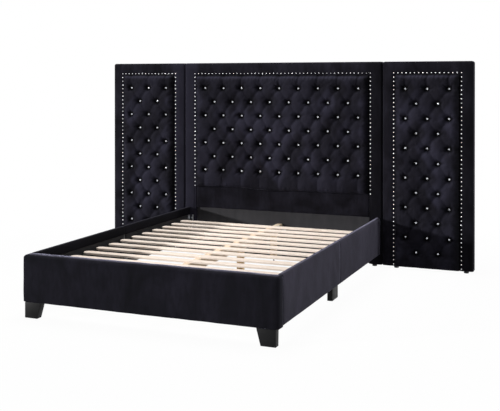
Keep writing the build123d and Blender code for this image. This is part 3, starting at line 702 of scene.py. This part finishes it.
def border(name, middle, width, strip, nail_in, seed):
    """The velvet border: back turn-in, side, crowned front, the nail line and the lip to the pad.

    Its section runs from the back round to the frame, as how far in from the panel's side, how far
    back, and how soft the velvet is there."""
    half, lip = width / 2, strip - nail_in
    section = [(TURN_IN, FRAME_BACK + 0.2, 0), (TURN_IN, FRAME_BACK + 1.2, 0),
               (30.0, FRAME_BACK + 1.2, 0), (14.0, FRAME_BACK + 1.1, 0), (3.0, FRAME_BACK + 0.9, 0)]
    section += [(0.9 * (1 - math.sin(t)), FRAME_BACK - 3.0 * (1 - math.cos(t)), 0) for t in (0.5, 1.0)]
    section += [(-0.25 * math.sin(math.pi * (y - FRONT) / (FRAME_BACK - FRONT)), y, 0)
                for y in np.linspace(FRAME_BACK - 5, FRONT + 15, 6)]
    section += [(FRONT_BEND * (1 - math.cos(math.radians(t))),
                 FRONT + FRONT_BEND * (1 - math.sin(math.radians(t))) - 0.6 * t / 90, 0.2)
                for t in (10, 28, 46, 64, 82)]
    for u in np.linspace(17, nail_in - 7, 11):
        share = (u - 10) / (nail_in - 10)
        section.append((u, FRONT - 3.6 * math.sin(math.pi * min(share, 1)) ** 0.8, share))
    section += [(nail_in - 4, FRONT + 1.0, 1.0), (nail_in, FRONT + 2.2, 1.0),
                (nail_in + 3.5, FRONT + 1.6, 0.8), (nail_in + 0.62 * lip, FRONT + 1.6, 0.5),
                (nail_in + 0.85 * lip, FRONT + 3.6, 0.3),
                (strip - 0.1, FRONT + 8.0, 0.1), (strip, FRONT + 18.0, 0), (strip, BOARD_FRONT - 1.2, 0),
                (strip - 4, BOARD_FRONT - 0.3, 0), (12.0, BOARD_FRONT - 0.3, 0), (10.4, BOARD_FRONT + 1, 0),
                (10.2, FRAME_BACK + 0.1, 0)]
    section = np.array(section)
    step = NAIL_PITCH / 4
    rise = np.linspace(0, 1, round((PANEL_TOP - PANEL_LOW) / step))
    run = np.linspace(0, 1, round(width / step))
    path = []
    for u in section[:, 0]:
        radius = max(CORNER - u, 1.2)
        left, up = -half + u, PANEL_TOP - u
        side = [(left, PANEL_LOW + t * (up - radius - PANEL_LOW)) for t in rise]
        side += [(left + radius * (1 - math.cos(a)), up - radius * (1 - math.sin(a)))
                 for a in np.radians(np.linspace(0, 90, 9))[1:-1]]
        over = [(left + radius + t * (-2 * left - 2 * radius), up) for t in run]
        path.append(side + over + [(-px, pz) for px, pz in side[::-1]])
    x, z = np.moveaxis(np.array(path), -1, 0)
    inset, y, soft = [np.repeat(section[:, k:k + 1], x.shape[1], 1) for k in range(3)]
    along = np.where(np.abs(x) > half - strip - 1, z, x)
    pulled = np.exp(-((np.abs(inset - nail_in)) / 13) ** 2)
    gather = 0.9 * np.cos(TAU * (along - NAIL_ROW) / NAIL_PITCH)
    uneven = 0.6 * drift(x, z, 190, seed) + 0.25 * drift(x, z, 60, seed + 1)
    y = y + soft * uneven + (soft > 0) * pulled * gather
    count = x.shape[1]
    faces = strips(len(section), count, around_rows=True)
    faces.append(tuple(k * count for k in range(len(section))))
    faces.append(tuple(k * count + count - 1 for k in reversed(range(len(section)))))
    return piece(name, np.stack([x + middle, y, z], -1).reshape(-1, 3), faces, border_velvet)


def paint_sheen_and_shade_on_sides(made, middle, inner, left, right):
    """Paints sheen on a border's two sides through the nap attribute above 0, and paints shade through the
    pressed attribute below it.
    """
    x = points_of(made)[0] - middle
    painted_sheen_shade = np.where(x < 0, left, right) * np.clip((np.abs(x) - inner + 30) / 30, 0, 1)
    marked(made, "nap", np.clip(painted_sheen_shade, 0, 1))
    marked(made, "pressed", np.clip(-painted_sheen_shade, 0, 1))


def nail_lines(middle, x, bottom):
    """The two columns and the top row that the nails follow, as runs of points."""
    return [[(middle - x, bottom), (middle - x, NAIL_ROW - NAIL_PITCH)],
            [(middle - x, NAIL_ROW), (middle + x, NAIL_ROW)],
            [(middle + x, NAIL_ROW - NAIL_PITCH), (middle + x, bottom)]]


# Geometry Nodes for what repeats


def new_tree(name, inputs):
    """A geometry tree with named inputs, each its kind and default, and what they give."""
    tree = bpy.data.node_groups.new(name, "GeometryNodeTree")
    for label, kind, default in (("Geometry", "Geometry", None), *inputs, ("Finish", "Material", None)):
        made = tree.interface.new_socket(name=label, in_out="INPUT", socket_type="NodeSocket" + kind)
        if default is not None:
            made.default_value = default
    tree.interface.new_socket(name="Geometry", in_out="OUTPUT", socket_type="NodeSocketGeometry")
    return tree, add(tree, "NodeGroupInput").outputs


def finished_tree(tree, given, copies):
    """Ends a tree: its copies are made real, take their finish and go out."""
    real = add(tree, "GeometryNodeRealizeInstances", {"Geometry": copies})
    finish = add(tree, "GeometryNodeSetMaterial", {"Geometry": real, "Material": given["Finish"]})
    add(tree, "NodeGroupOutput", {"Geometry": finish})
    return tree


def grown(name, tree, points, edges, settings, turns=None):
    """Runs a tree on a carrier of points and edges, and returns the result as a plain mesh object."""
    mesh = bpy.data.meshes.new(name)
    mesh.from_pydata([tuple(v / 1000 for v in p) for p in points], edges, [])
    if turns is not None:
        attribute = mesh.attributes.new("turn", "FLOAT_VECTOR", "POINT")
        attribute.data.foreach_set("vector", np.asarray(turns, float).ravel())
    carrier = placed(name, mesh)
    modifier = carrier.modifiers.new("repeat", "NODES")
    modifier.node_group = tree
    for item in tree.interface.items_tree:
        if item.name in settings:
            modifier[item.identifier] = settings[item.name]
    carrier.update_tag()
    bpy.context.view_layer.update()
    applied(carrier)
    return carrier


def repeat_tree(name, along_lines):
    """A tree that sets a shape on points, or every pitch along lines, each turned and tipped a little."""
    tree, given = new_tree(name, (("Shape", "Object", None), ("Pitch", "Float", 0.03), ("Tip", "Float", 0.03),
                                  ("Stray", "Float", 0.0003), ("Seed", "Int", 1)))
    shape = add(tree, "GeometryNodeObjectInfo", {"Object": given["Shape"]}).outputs["Geometry"]
    if along_lines:
        line = add(tree, "GeometryNodeMeshToCurve", {"Mesh": given["Geometry"]})
        spaced = add(tree, "GeometryNodeResampleCurve", {"Curve": line, "Length": given["Pitch"]},
                     mode="LENGTH")
        places = add(tree, "GeometryNodeCurveToPoints", {"Curve": spaced}, mode="EVALUATED")
        turn = add(tree, "FunctionNodeEulerToRotation", {"Euler": (math.pi / 2, 0, 0)})
    else:
        places = add(tree, "GeometryNodeMeshToPoints", {"Mesh": given["Geometry"]})
        facing = add(tree, "GeometryNodeInputNamedAttribute", {"Name": "turn"}, data_type="FLOAT_VECTOR")
        turn = add(tree, "FunctionNodeEulerToRotation", {"Euler": facing})
    minus, back = [add(tree, "ShaderNodeMath", {0: given[most], 1: -1.0}, operation="MULTIPLY")
                   for most in ("Stray", "Tip")]
    later = add(tree, "ShaderNodeMath", {0: given["Seed"], 1: 7.0})
    stray, tip = [add(tree, "FunctionNodeRandomValue", {"Min": least, "Max": given[most], "Seed": start},
                      data_type="FLOAT_VECTOR")
                  for least, most, start in ((minus, "Stray", given["Seed"]), (back, "Tip", later))]
    moved = add(tree, "GeometryNodeSetPosition", {"Geometry": places, "Offset": stray})
    tipped = add(tree, "FunctionNodeEulerToRotation", {"Euler": tip})
    whole = add(tree, "FunctionNodeRotateRotation", {"Rotation": turn, "Rotate By": tipped},
                rotation_space="GLOBAL")
    return finished_tree(tree, given, add(tree, "GeometryNodeInstanceOnPoints", {
        "Points": moved, "Instance": shape, "Rotation": whole}))


on_points = repeat_tree("fittings on points", False)
on_lines = repeat_tree("fittings along lines", True)


def turned_shape(name, profile, sides):
    """A small shape turned about Z from (radius, height) pairs, for the trees to repeat."""
    points = [point for radius, height in profile for point in ring(radius, height, sides)]
    return piece(name, points, drum(len(profile), sides), nickel)


def screw_shape(radius, height):
    """A pan head with a cross recess."""
    points = ring(radius, 0, 12) + ring(radius, height * 0.45, 12) + ring(radius * 0.82, height * 0.85, 12)
    wide, slim = radius * 0.55, radius * 0.17
    cross = []
    for k in range(4):
        c, s = math.cos(TAU * k / 4), math.sin(TAU * k / 4)
        cross += [(px * c - py * s, px * s + py * c)
                  for px, py in ((wide, -slim), (wide, slim), (slim, slim))]
    points += [(px, py, height) for px, py in cross]
    points += [(px * 0.8, py * 0.8, height * 0.35) for px, py in cross]
    faces = strips(3, 12, around_columns=True)
    for k in range(12):
        before, after = (k + 11) % 12, (k + 1) % 12
        faces += [(24 + before, 24 + k, 36 + k, 36 + before), (36 + k, 36 + after, 48 + after, 48 + k)]
    faces += [tuple(range(48, 60)), tuple(range(12))[::-1]]
    return piece("screw", points, faces, zinc, smooth=False)


def crystal_shape():
    """A cut button: a flat table, a crown of kite facets, a girdle and a pressed cup below it."""
    points = ring(4.6, 7.6, 8) + ring(8.4, 5.2, 8, 0.5) + ring(10.2, 2.6, 8) + ring(10.0, -0.6, 8)
    faces = [tuple(range(8))]
    for k in range(8):
        m = (k + 1) % 8
        faces += [(k, m, 8 + k), (8 + k, m, 8 + m), (8 + k, 8 + m, 16 + m), (16 + k, 8 + k, 16 + m),
                  (16 + k, 16 + m, 24 + m, 24 + k)]
    return piece("button", points, faces + [tuple(range(24, 32))[::-1]], cut_crystal, smooth=False)


nail = turned_shape("nail", [(4.6, -1.5), (4.6, 0.3), (4.0, 1.6), (2.7, 2.6), (1.0, 3.1)], 12)
staple = piece("staple", [(x, y, z) for x in (-5.0, 5.0) for y in (-0.6, 0.6) for z in (-0.3, 0.7)],
               [(0, 1, 3, 2), (4, 6, 7, 5), (0, 4, 5, 1), (2, 3, 7, 6), (1, 5, 7, 3), (0, 2, 6, 4)],
               zinc, False)
screw = screw_shape(4.6, 2.8)
glide = turned_shape("glide", [(16.5, 0.0), (18.0, 1.6), (18.0, 12.0), (17.0, 14.5), (12.0, 15.0),
                               (12.0, PANEL_LOW)], 28)
button = crystal_shape()


def fittings(name, shape, places, turns, finish, slot, seed, tip=0.0, stray=0.0, replaced=()):
    """A shape repeated on points in millimetres, each with its own turn."""
    made = grown(name, on_points, places, [], {
        "Shape": shape, "Tip": tip, "Stray": stray / 1000, "Seed": seed, "Finish": finish}, turns)
    dress(made, slot, *replaced)


def fittings_along(name, shape, lines, y, pitch, finish, seed, tip, stray):
    """A shape repeated every pitch along lines of (x, z) at a depth y."""
    points, edges = [], []
    for line in lines:
        edges += [(len(points) + k, len(points) + k + 1) for k in range(len(line) - 1)]
        points += [(x, y, z) for x, z in line]
    made = grown(name, on_lines, points, edges, {
        "Shape": shape, "Pitch": pitch / 1000, "Tip": tip, "Stray": stray / 1000, "Seed": seed,
        "Finish": finish})
    dress(made, "zinc_steel")


# Headboard and wings

TO_FOOT, TO_HEAD = (math.pi / 2, 0, 0), (-math.pi / 2, 0, 0)

# Each panel's middle, width, breadth of border, inset and lower end of the nails, and for its pad the
# underside, button pitch, columns, rows and roll of the lower edge
plans = [(0.0, 2 * HEAD_HALF, HEAD_HALF - HEAD_FIELD - SOFT_GAP, HEAD_NAIL_INSET, SEAM + 6,
          (SEAM, HEAD_PITCH, 9, 7, 26.0))]
for name in PANELS[1:]:
    box_low, box_high = low(name + "_border"), high(name + "_border")
    plans.append(((box_low.x + box_high.x) / 2, box_high.x - box_low.x,
                  low(name + "_tufted_pad").x - box_low.x - SOFT_GAP, WING_NAIL_INSET, PANEL_LOW + 14,
                  (PANEL_LOW + SOFT_GAP, WING_PITCH, 3, 12, 14.0)))

for number, name in enumerate(PANELS):
    middle, width, strip, nail_in, nails_end, pad_plan = plans[number]
    half, seed = width / 2, 11 * number + 5
    padding = border(name + "_padded_border", middle, width, strip, nail_in, seed)
    paint_sheen_and_shade_on_sides(padding, middle, half - strip, *BORDER_PAINTED_SHEEN_AND_SHADE[number])
    dress(padding, "black_velvet", name + "_border")
    pad, spots = tufted_pad(name + "_tufting", middle, half - strip - SOFT_GAP, PANEL_TOP - strip - SOFT_GAP,
                            *pad_plan, seed + 1, wavy=name == "headboard")
    dress(pad, "black_velvet", name + "_tufted_pad")
    fittings(name + "_crystals", button, [(x, CROWN + DIMPLE - 0.4, z - 2.0) for x, z in spots],
             [TO_FOOT] * len(spots), cut_crystal, "crystal", seed, 0.16, 0.8, [name + "_buttons"])
    fittings_along(name + "_nails", nail, nail_lines(middle, half - nail_in, nails_end), FRONT + 1.4,
                   NAIL_PITCH - 0.15, nickel, seed, 0.05, 0.5)

# The headboard's lower band and lining, and the footboard


def band_warp(points):
    """The band's top follows the seam of the pad above it."""
    share = np.clip((points[:, 2] - BAND_LOW) / (SEAM - BAND_LOW), 0, 1)
    points[:, 2] += seam_wave(points[:, 0]) * share ** 3
    return points


def soft_part(name, node, slot, margins, mat, step, crown, uneven, seed, drops=(0, 0), warp=None):
    """A soft box in a node's place, its underside and top dropped a little where asked."""
    lo, hi = [corner + Vector((0, 0, -drop)) for corner, drop in zip((low(node), high(node)), drops)]
    made = soft_box(name, lo, hi, margins, mat, step, crown, uneven, seed, warp)
    dress(made, slot, node)


soft_part("headboard_padded_band", "headboard_lower_band", "black_velvet", ((4, 11, 5), (4, 3, 9)),
          border_velvet, 20, (0, 1.5, 0), 0.8, 31, (0, 0.4), band_warp)
soft_part("headboard_felt_lining", "headboard_lining", "lining", ((2, 3, 2), (2, 2, 2)),
          lining_cloth, 24, (0, 0.6, 0), 0.3, 37)

# Side rails


def two_faced(name, front, back, mat):
    """A thin cloth from a grid of points for each of its faces, closed round its edge."""
    rows, columns = front.shape[:2]
    count, edge = rows * columns, rim(rows, columns)
    faces = strips(rows, columns)
    faces += [tuple(count + k for k in reversed(face)) for face in faces]
    faces += [(a, b, count + b, count + a) for a, b in zip(edge, edge[1:] + edge[:1])]
    return piece(name, np.concatenate([front, back]).reshape(-1, 3), faces, mat)


def rail_cover(node, start, end, sign, seed, mat):
    """Velvet round one half of a rail: under, outside, over the top and down the upper inside."""
    outer, inner, board_in, board_out = RAIL_OUTER, RAIL_INNER, BOARD_INNER, BOARD_OUTER
    fold = high(node).z - HEM
    section = [(board_in + 0.2, RAIL_LOW + 0.2), (board_in + 4, RAIL_LOW), (outer - 6, RAIL_LOW)]
    section += [(outer - 5 + 5 * math.sin(a), RAIL_LOW + 5 - 5 * math.cos(a))
                for a in np.radians((30, 60, 90))]
    section += [(outer, z) for z in np.linspace(RAIL_LOW + 20, RAIL_TOP - 24, 11)]
    section += [(outer - 15 + 15 * math.cos(a), RAIL_TOP - 15 + 15 * math.sin(a))
                for a in np.radians((0, 18, 36, 54, 72, 90))]
    section += [(x, RAIL_TOP) for x in np.linspace(outer - 18, inner + 12, 3)[1:]]
    section += [(inner + 8 - 8 * math.sin(a), RAIL_TOP - 8 + 8 * math.cos(a))
                for a in np.radians((0, 22, 45, 67, 90))]
    section += [(inner, z) for z in (RAIL_TOP - 20, RAIL_TOP - 34, fold + 9)]
    section += [(inner + 0.4, fold + 4), (inner + 2, fold + 0.8), (board_in - 0.1, fold),
                (board_in, fold + 20), (board_in, RAIL_TOP - 10), (board_out, RAIL_TOP - 10),
                (board_out, RAIL_LOW + 60), (board_out, RAIL_LOW + 3), (board_in + 0.2, RAIL_LOW + 3)]
    section = np.array(section)
    skin = np.arange(len(section)) < len(section) - 6  # the rest lies against the board
    x, z = section.T
    swell = 1.6 * np.sin(np.pi * (z - RAIL_LOW) / (RAIL_TOP - RAIL_LOW)) ** 0.6
    bulge = np.where(x > outer - 0.5, swell, 0)
    start, end = start + 0.05, end - 0.05  # clearance at each end
    ys = marks_along(start, end, 7, 7, 26)
    points = []
    for y in ys:
        near = min(y - start, end - y, 7)
        pinch = 7 - math.sqrt(49 - (7 - near) ** 2)
        here = np.full_like(z, y)
        wander = 0.55 * drift(here, z, 210, seed) + 0.25 * drift(here, z, 70, seed + 1)
        moved_x = x + np.where(skin & (x > board_out), bulge + wander - pinch, 0)
        moved_x += np.where(skin & (x < board_in - 1), 0.4 * pinch, 0)
        moved_z = z + np.where((z > RAIL_TOP - 0.5) & skin, 0.6 * wander - pinch * 0.8, 0)
        points.append(np.stack([sign * moved_x, here, moved_z], -1))
    faces = strips(len(ys), len(section), around_columns=True)
    faces.append(tuple(range(len(section))))
    faces.append(tuple((len(ys) - 1) * len(section) + k for k in reversed(range(len(section)))))
    return piece(node + "_velvet", np.concatenate(points), faces, mat)


def rail_lining(name, start, end, sign, seed):
    """Grey cloth stretched over the lower inside of a rail board, tucked under the velvet's edge."""
    u, v = np.meshgrid(np.linspace(start + 0.4, end - 0.4, 40),
                       np.linspace(RAIL_LOW + 4, RAIL_TOP - HEM + 2, 12))
    away = BOARD_INNER - 0.5 - 0.35 * np.abs(drift(u, v, 130, seed))
    front, back = [np.stack([sign * (away + thick), u, v], -1) for thick in (0, 0.4)]
    return two_faced(name, front, back, lining_cloth)


for side, sign in SIDES:
    for number, (part, start, end) in enumerate((("head", RAIL_SEAM, FRONT), ("foot", FOOT_BACK, RAIL_SEAM))):
        node = f"{side}_rail_cover_{part}"
        # The right rail's velvet is lightened as painted light, the left rail's darkened as painted shade
        cover = rail_cover(node, start, end, sign, 41 + 7 * number + (sign > 0),
                           painted_light_velvet if sign > 0 else shaded_velvet)
        dress(cover, "black_velvet", node)
        cloth = rail_lining(f"{side}_rail_lining_{part}", start, end, sign, 61 + number)
        dress(cloth, "lining")

soft_part("footboard_padded_cover", "footboard_cover", "black_velvet", ((20, 22, 3), (20, 15, 20)),
          rail_velvet, 22, (1.5, 1.5, 0.5), 0.7, 53, (0.4, 0))

# Slats, by one tree from their sizes


def slat_tree():
    """A tree that lays out slats: a rounded outline, extruded, repeated at its places, each its own tone."""
    tree, given = new_tree("slats", (("Length", "Float", 1.5), ("Width", "Float", 0.06),
                                     ("Thickness", "Float", 0.012), ("Corner", "Float", 0.02),
                                     ("Stray", "Float", 0.001), ("Seed", "Int", 3)))
    outline = add(tree, "GeometryNodeCurvePrimitiveQuadrilateral", {"Width": given["Length"],
                                                                    "Height": given["Width"]})
    rounded = add(tree, "GeometryNodeFilletCurve", {"Curve": outline, "Radius": given["Corner"], "Count": 7},
                  mode="POLY")
    face = add(tree, "GeometryNodeFillCurve", {"Curve": rounded}, mode="NGONS")
    under = add(tree, "GeometryNodeFlipFaces", {"Mesh": face})
    raised = add(tree, "GeometryNodeExtrudeMesh", {"Mesh": face, "Offset Scale": given["Thickness"]})
    solid = add(tree, "GeometryNodeJoinGeometry", {"Geometry": [raised, under]})
    closed = add(tree, "GeometryNodeMergeByDistance", {"Geometry": solid, "Distance": 0.00001})
    places = add(tree, "GeometryNodeMeshToPoints", {"Mesh": given["Geometry"]})
    minus = add(tree, "ShaderNodeMath", {0: given["Stray"], 1: -1.0}, operation="MULTIPLY")
    least, most = [add(tree, "ShaderNodeCombineXYZ", {"X": far, "Y": far}) for far in (minus, given["Stray"])]
    stray = add(tree, "FunctionNodeRandomValue", {"Min": least, "Max": most, "Seed": given["Seed"]},
                data_type="FLOAT_VECTOR")
    moved = add(tree, "GeometryNodeSetPosition", {"Geometry": places, "Offset": stray})
    copies = add(tree, "GeometryNodeInstanceOnPoints", {"Points": moved, "Instance": closed})
    tone = add(tree, "FunctionNodeRandomValue", {"Seed": given["Seed"]}, data_type="FLOAT")
    return finished_tree(tree, given, add(tree, "GeometryNodeStoreNamedAttribute", {
        "Geometry": copies, "Name": "tone", "Value": tone}, data_type="FLOAT", domain="INSTANCE"))


slat_nodes = sorted(n for n in nodes if n.startswith("slat_"))
slat_size = high("slat_01") - low("slat_01")
slat_places = [(0, ((low(n) + high(n)) / 2).y, low("slat_01").z) for n in slat_nodes]
slats = grown("slats", slat_tree(), slat_places, [], {
    "Length": slat_size.x / 1000, "Width": slat_size.y / 1000, "Thickness": slat_size.z / 1000,
    "Corner": 0.4 * slat_size.y / 1000, "Stray": 0.0012, "Seed": 4, "Finish": slat_pine})
bevelled(slats, 2.2, 2)
for polygon in slats.data.polygons:
    polygon.use_smooth = True
slats.data.set_sharp_from_angle(angle=math.radians(35))
dress(slats, "slat_wood", *slat_nodes)

# Timber, legs and steel

for side, _ in SIDES:
    for part, width, segments in (("_front_leg", 1.6, 3), ("_middle_leg", 1.6, 3), ("_slat_ledger", 1.2, 2)):
        eased(side + part, width, black_lacquer, "black_lacquer", segments)
    for part in ("head", "foot"):
        nodes[f"{side}_rail_board_{part}"].data.materials[0] = beam_pine
eased("centre_beam", 1.5, beam_pine, "frame_wood")
for part in ("head", "middle", "foot"):
    eased("centre_leg_" + part, 1.2, frame_pine, "frame_wood")
for part, width, segments in (("corner_brackets", 0.7, 1), ("beam_hangers", 0.7, 1),
                              ("wing_joining_plates", 0.9, 2), ("frame_bolts", 0.5, 1)):
    eased(part, width, zinc, "zinc_steel", segments)
for name in PANELS:
    nodes[name + "_board"].data.materials[0] = plywood
    nodes[name + "_frame"].data.materials[0] = frame_pine
nodes["footboard_frame"].data.materials[0] = plywood


def levelling_foot(node):
    """A levelling foot: domed pad, spanner collar and a rolled thread that runs up into its leg."""
    lo, hi = low(node), high(node)
    x, y = (lo.x + hi.x) / 2, (lo.y + hi.y) / 2
    dome = [(13.0, 0), (16.2, 0.6), (17.0, 2.2), (16.6, 4.5), (14.0, 6.4), (9.5, 7.6), (7.4, 8.0)]
    collar = [(6.9, 7.6), (7.5, 8.2), (7.5, 12.4), (6.9, 13.0)]
    thread = [(4.0 - 0.55 * (k % 2), 12.8 + 0.625 * k) for k in range(int((hi.z - 13) / 0.625))]
    points, faces = [], []
    for profile, sides in ((dome, 24), (collar, 6), (thread, 16)):
        faces += drum(len(profile), sides, len(points))
        points += [(x + px, y + py, pz) for radius, height in profile
                   for px, py, pz in ring(radius, height, sides)]
    made = piece(node + "_moulded", points, faces, black_plastic)
    made.data.set_sharp_from_angle(angle=math.radians(38))
    dress(made, "black_plastic", node, body=node)


for part in ("head", "middle", "foot"):
    levelling_foot("levelling_foot_" + part)

# Glides: one near each side of the headboard and of each wing

glide_y = (low("panel_glides").y + high("panel_glides").y) / 2
glide_xs = [HEAD_HALF - 68, low("right_wing_border").x + 95, high("right_wing_border").x - 55]
fittings("panel_glides_moulded", glide, [(sign * x, glide_y, 0.0) for x in glide_xs for sign in (-1, 1)],
         [(0, 0, 0)] * 6, black_plastic, "black_plastic", 3, replaced=["panel_glides"])

# Screws, as places and turns: in the corner brackets, the middle legs, the ledgers, the beam's hangers
# and the joining plates

BRACKET, LEG, LEDGER = 3, 35, 30  # how far each stands in from its rail board
screws = []
plates_low, plates_high = low("wing_joining_plates"), high("wing_joining_plates")
for sign in (-1, 1):
    inside = [(BOARD_INNER - BRACKET, y, z) for y in (FRONT - 24, FOOT_BACK + 24) for z in (205, 247, 290)]
    inside += [(BOARD_INNER - LEG, RAIL_SEAM - 14 + y, z) for y in (-42, -18, 18, 42) for z in (150, 205)]
    inside += [(BOARD_INNER - LEDGER, FRONT - y, 263) for y in (120, 400, 700)]
    inside += [(BOARD_INNER - LEDGER, RAIL_SEAM - y, 263) for y in (-60, 120, 400, 700, 980)]
    screws += [((sign * x, y, z), (0, -sign * math.pi / 2, 0)) for x, y, z in inside]
    screws += [((sign * 37, y, z), turn) for y, turn in ((low("beam_hangers").y + 3, TO_HEAD),
                                                         (high("beam_hangers").y - 3, TO_FOOT))
               for z in (228, 246)]
screws += [((sign * (HEAD_HALF + 2.5) + across, plates_high.y, z), TO_HEAD) for sign in (-1, 1)
           for z in (plates_low.z + 23, plates_high.z - 23) for across in (-50, -32, 32, 50)]
fittings("screws", screw, *zip(*screws), zinc, "zinc_steel", 9)

# The backs: dust covers and their staples


def dust_cover(name, seed):
    """Thin cloth over a panel's open back, stretched between its staples, a little slack between.

    Returns the four lines that its staples follow."""
    node = name + "_dust_cover"
    lo, hi = low(node), high(node)
    u, v = np.meshgrid(np.linspace(lo.x, hi.x, 60), np.linspace(lo.z, hi.z, 70))
    edge = np.minimum(np.minimum(u - lo.x, hi.x - u), np.minimum(v - lo.z, hi.z - v))
    slack = np.clip(edge / 120, 0, 1)
    gather = 0.35 * np.sin(TAU * (u + v) / 46) * np.exp(-edge / 18)
    y = lo.y + 1.2 + 0.5 * drift(u, v, 260, seed) * slack + gather
    outer = np.stack([u, np.minimum(y, hi.y + 0.4), v], -1)
    made = two_faced(node + "_cloth", outer, outer - np.array([0, 0.5, 0]), dust_cloth)
    dress(made, "dust_cloth", node)
    left, right, bottom, top = lo.x + 9, hi.x - 9, lo.z + 9, hi.z - 9
    corners = [(left, bottom), (right, bottom), (right, top), (left, top), (left, bottom)]
    return [corners[k:k + 2] for k in range(4)]


staple_lines = [line for number, name in enumerate(PANELS) for line in dust_cover(name, 71 + number)]
fittings_along("back_staples", staple, staple_lines, high("right_wing_dust_cover").y + 0.3, 42, zinc, 21,
               0.25, 0.8)

for shape in (nail, staple, screw, glide, button):
    bpy.data.objects.remove(shape)

# Floor, lights and camera


def seen_as_white(tree):
    """1 for rays from the camera, off metal and through glass, which meet the plain white."""
    rays = add(tree, "ShaderNodeLightPath").outputs
    seen = rays["Is Camera Ray"]
    for kind in ("Is Glossy Ray", "Is Transmission Ray"):
        seen = add(tree, "ShaderNodeMath", {0: seen, 1: rays[kind]}, operation="MAXIMUM")
    return seen


def studio_floor():
    """Matt pale paint that takes the bed's shadow near it and runs out into plain white."""
    mat = bpy.data.materials.new("pale studio floor")
    tree = cleared(mat)
    place = add(tree, "ShaderNodeTexCoord").outputs["Object"]
    far = add(tree, "ShaderNodeVectorMath", {0: place}, operation="LENGTH")
    fade = add(tree, "ShaderNodeMapRange", {"Value": far, "From Min": 1.8, "From Max": 3.6, "To Min": 0.97},
               interpolation_type="SMOOTHSTEP")
    white = add(tree, "ShaderNodeMath", {0: fade, 1: seen_as_white(tree)}, operation="MULTIPLY")
    tone = add(tree, "ShaderNodeTexNoise", {"Vector": place, "Scale": per(900), "Detail": 2.0})
    pale = add(tree, "ShaderNodeValToRGB", {"Fac": tone}, ((0.3, "#dedede"), (0.7, "#e4e4e4")))
    paint = add(tree, "ShaderNodeBsdfDiffuse", {"Color": pale})
    glow = add(tree, "ShaderNodeEmission", {"Color": "#ffffff", "Strength": 1.0})
    both = add(tree, "ShaderNodeMixShader", {0: white, 1: paint, 2: glow})
    add(tree, "ShaderNodeOutputMaterial", {"Surface": both})
    return mat


def studio_world(fill):
    """White behind everything, and a soft even fill on the bed."""
    scene.world = bpy.data.worlds.new("studio")
    tree = cleared(scene.world)
    dim, white = [add(tree, "ShaderNodeBackground", {"Color": "#ffffff", "Strength": strength})
                  for strength in (fill, 1.0)]
    both = add(tree, "ShaderNodeMixShader", {0: seen_as_white(tree), 1: dim, 2: white})
    add(tree, "ShaderNodeOutputWorld", {"Surface": both})


def light(name, kind, strength, travel, place=(0, 0, 0), **settings):
    """A light that shines along a direction, in metres."""
    made = placed(name, bpy.data.lights.new(name, kind))
    for setting, value in settings.items():
        setattr(made.data, setting, value)
    made.data.energy = strength
    made.location = place
    made.rotation_euler = Vector(travel).to_track_quat("-Z", "Y").to_euler()


far = 20000  # from the middle to each of its sides
floor = piece("studio_floor", [(-far, -far, 0), (far, -far, 0), (far, far, 0), (-far, far, 0)],
              [(0, 1, 2, 3)], studio_floor(), smooth=False)

studio_world(0.035)
light("key_from_the_left", "SUN", 3.6, (0.80, 0.60, -0.168), angle=math.radians(2.5))
light("fill_from_the_right", "SUN", 2.8, (-0.98, -0.10, 0.0), angle=math.radians(6.0))
light("overhead", "AREA", 290, (0.5, -0.4, -5.2), (-0.5, 0.5, 5.2), shape="SQUARE", size=2.8)

eye = placed("camera", bpy.data.cameras.new("camera"))
eye.data.sensor_width = 36.0
eye.data.lens = 64.027
eye.data.shift_y = -0.23966
eye.data.clip_end = 200
eye.location = (2.443194, -5.511828, 1.405457)
eye.rotation_euler = (math.pi / 2 - 0.00528, 0, 0.38906)
scene.camera = eye
scene.view_settings.view_transform = "Standard"
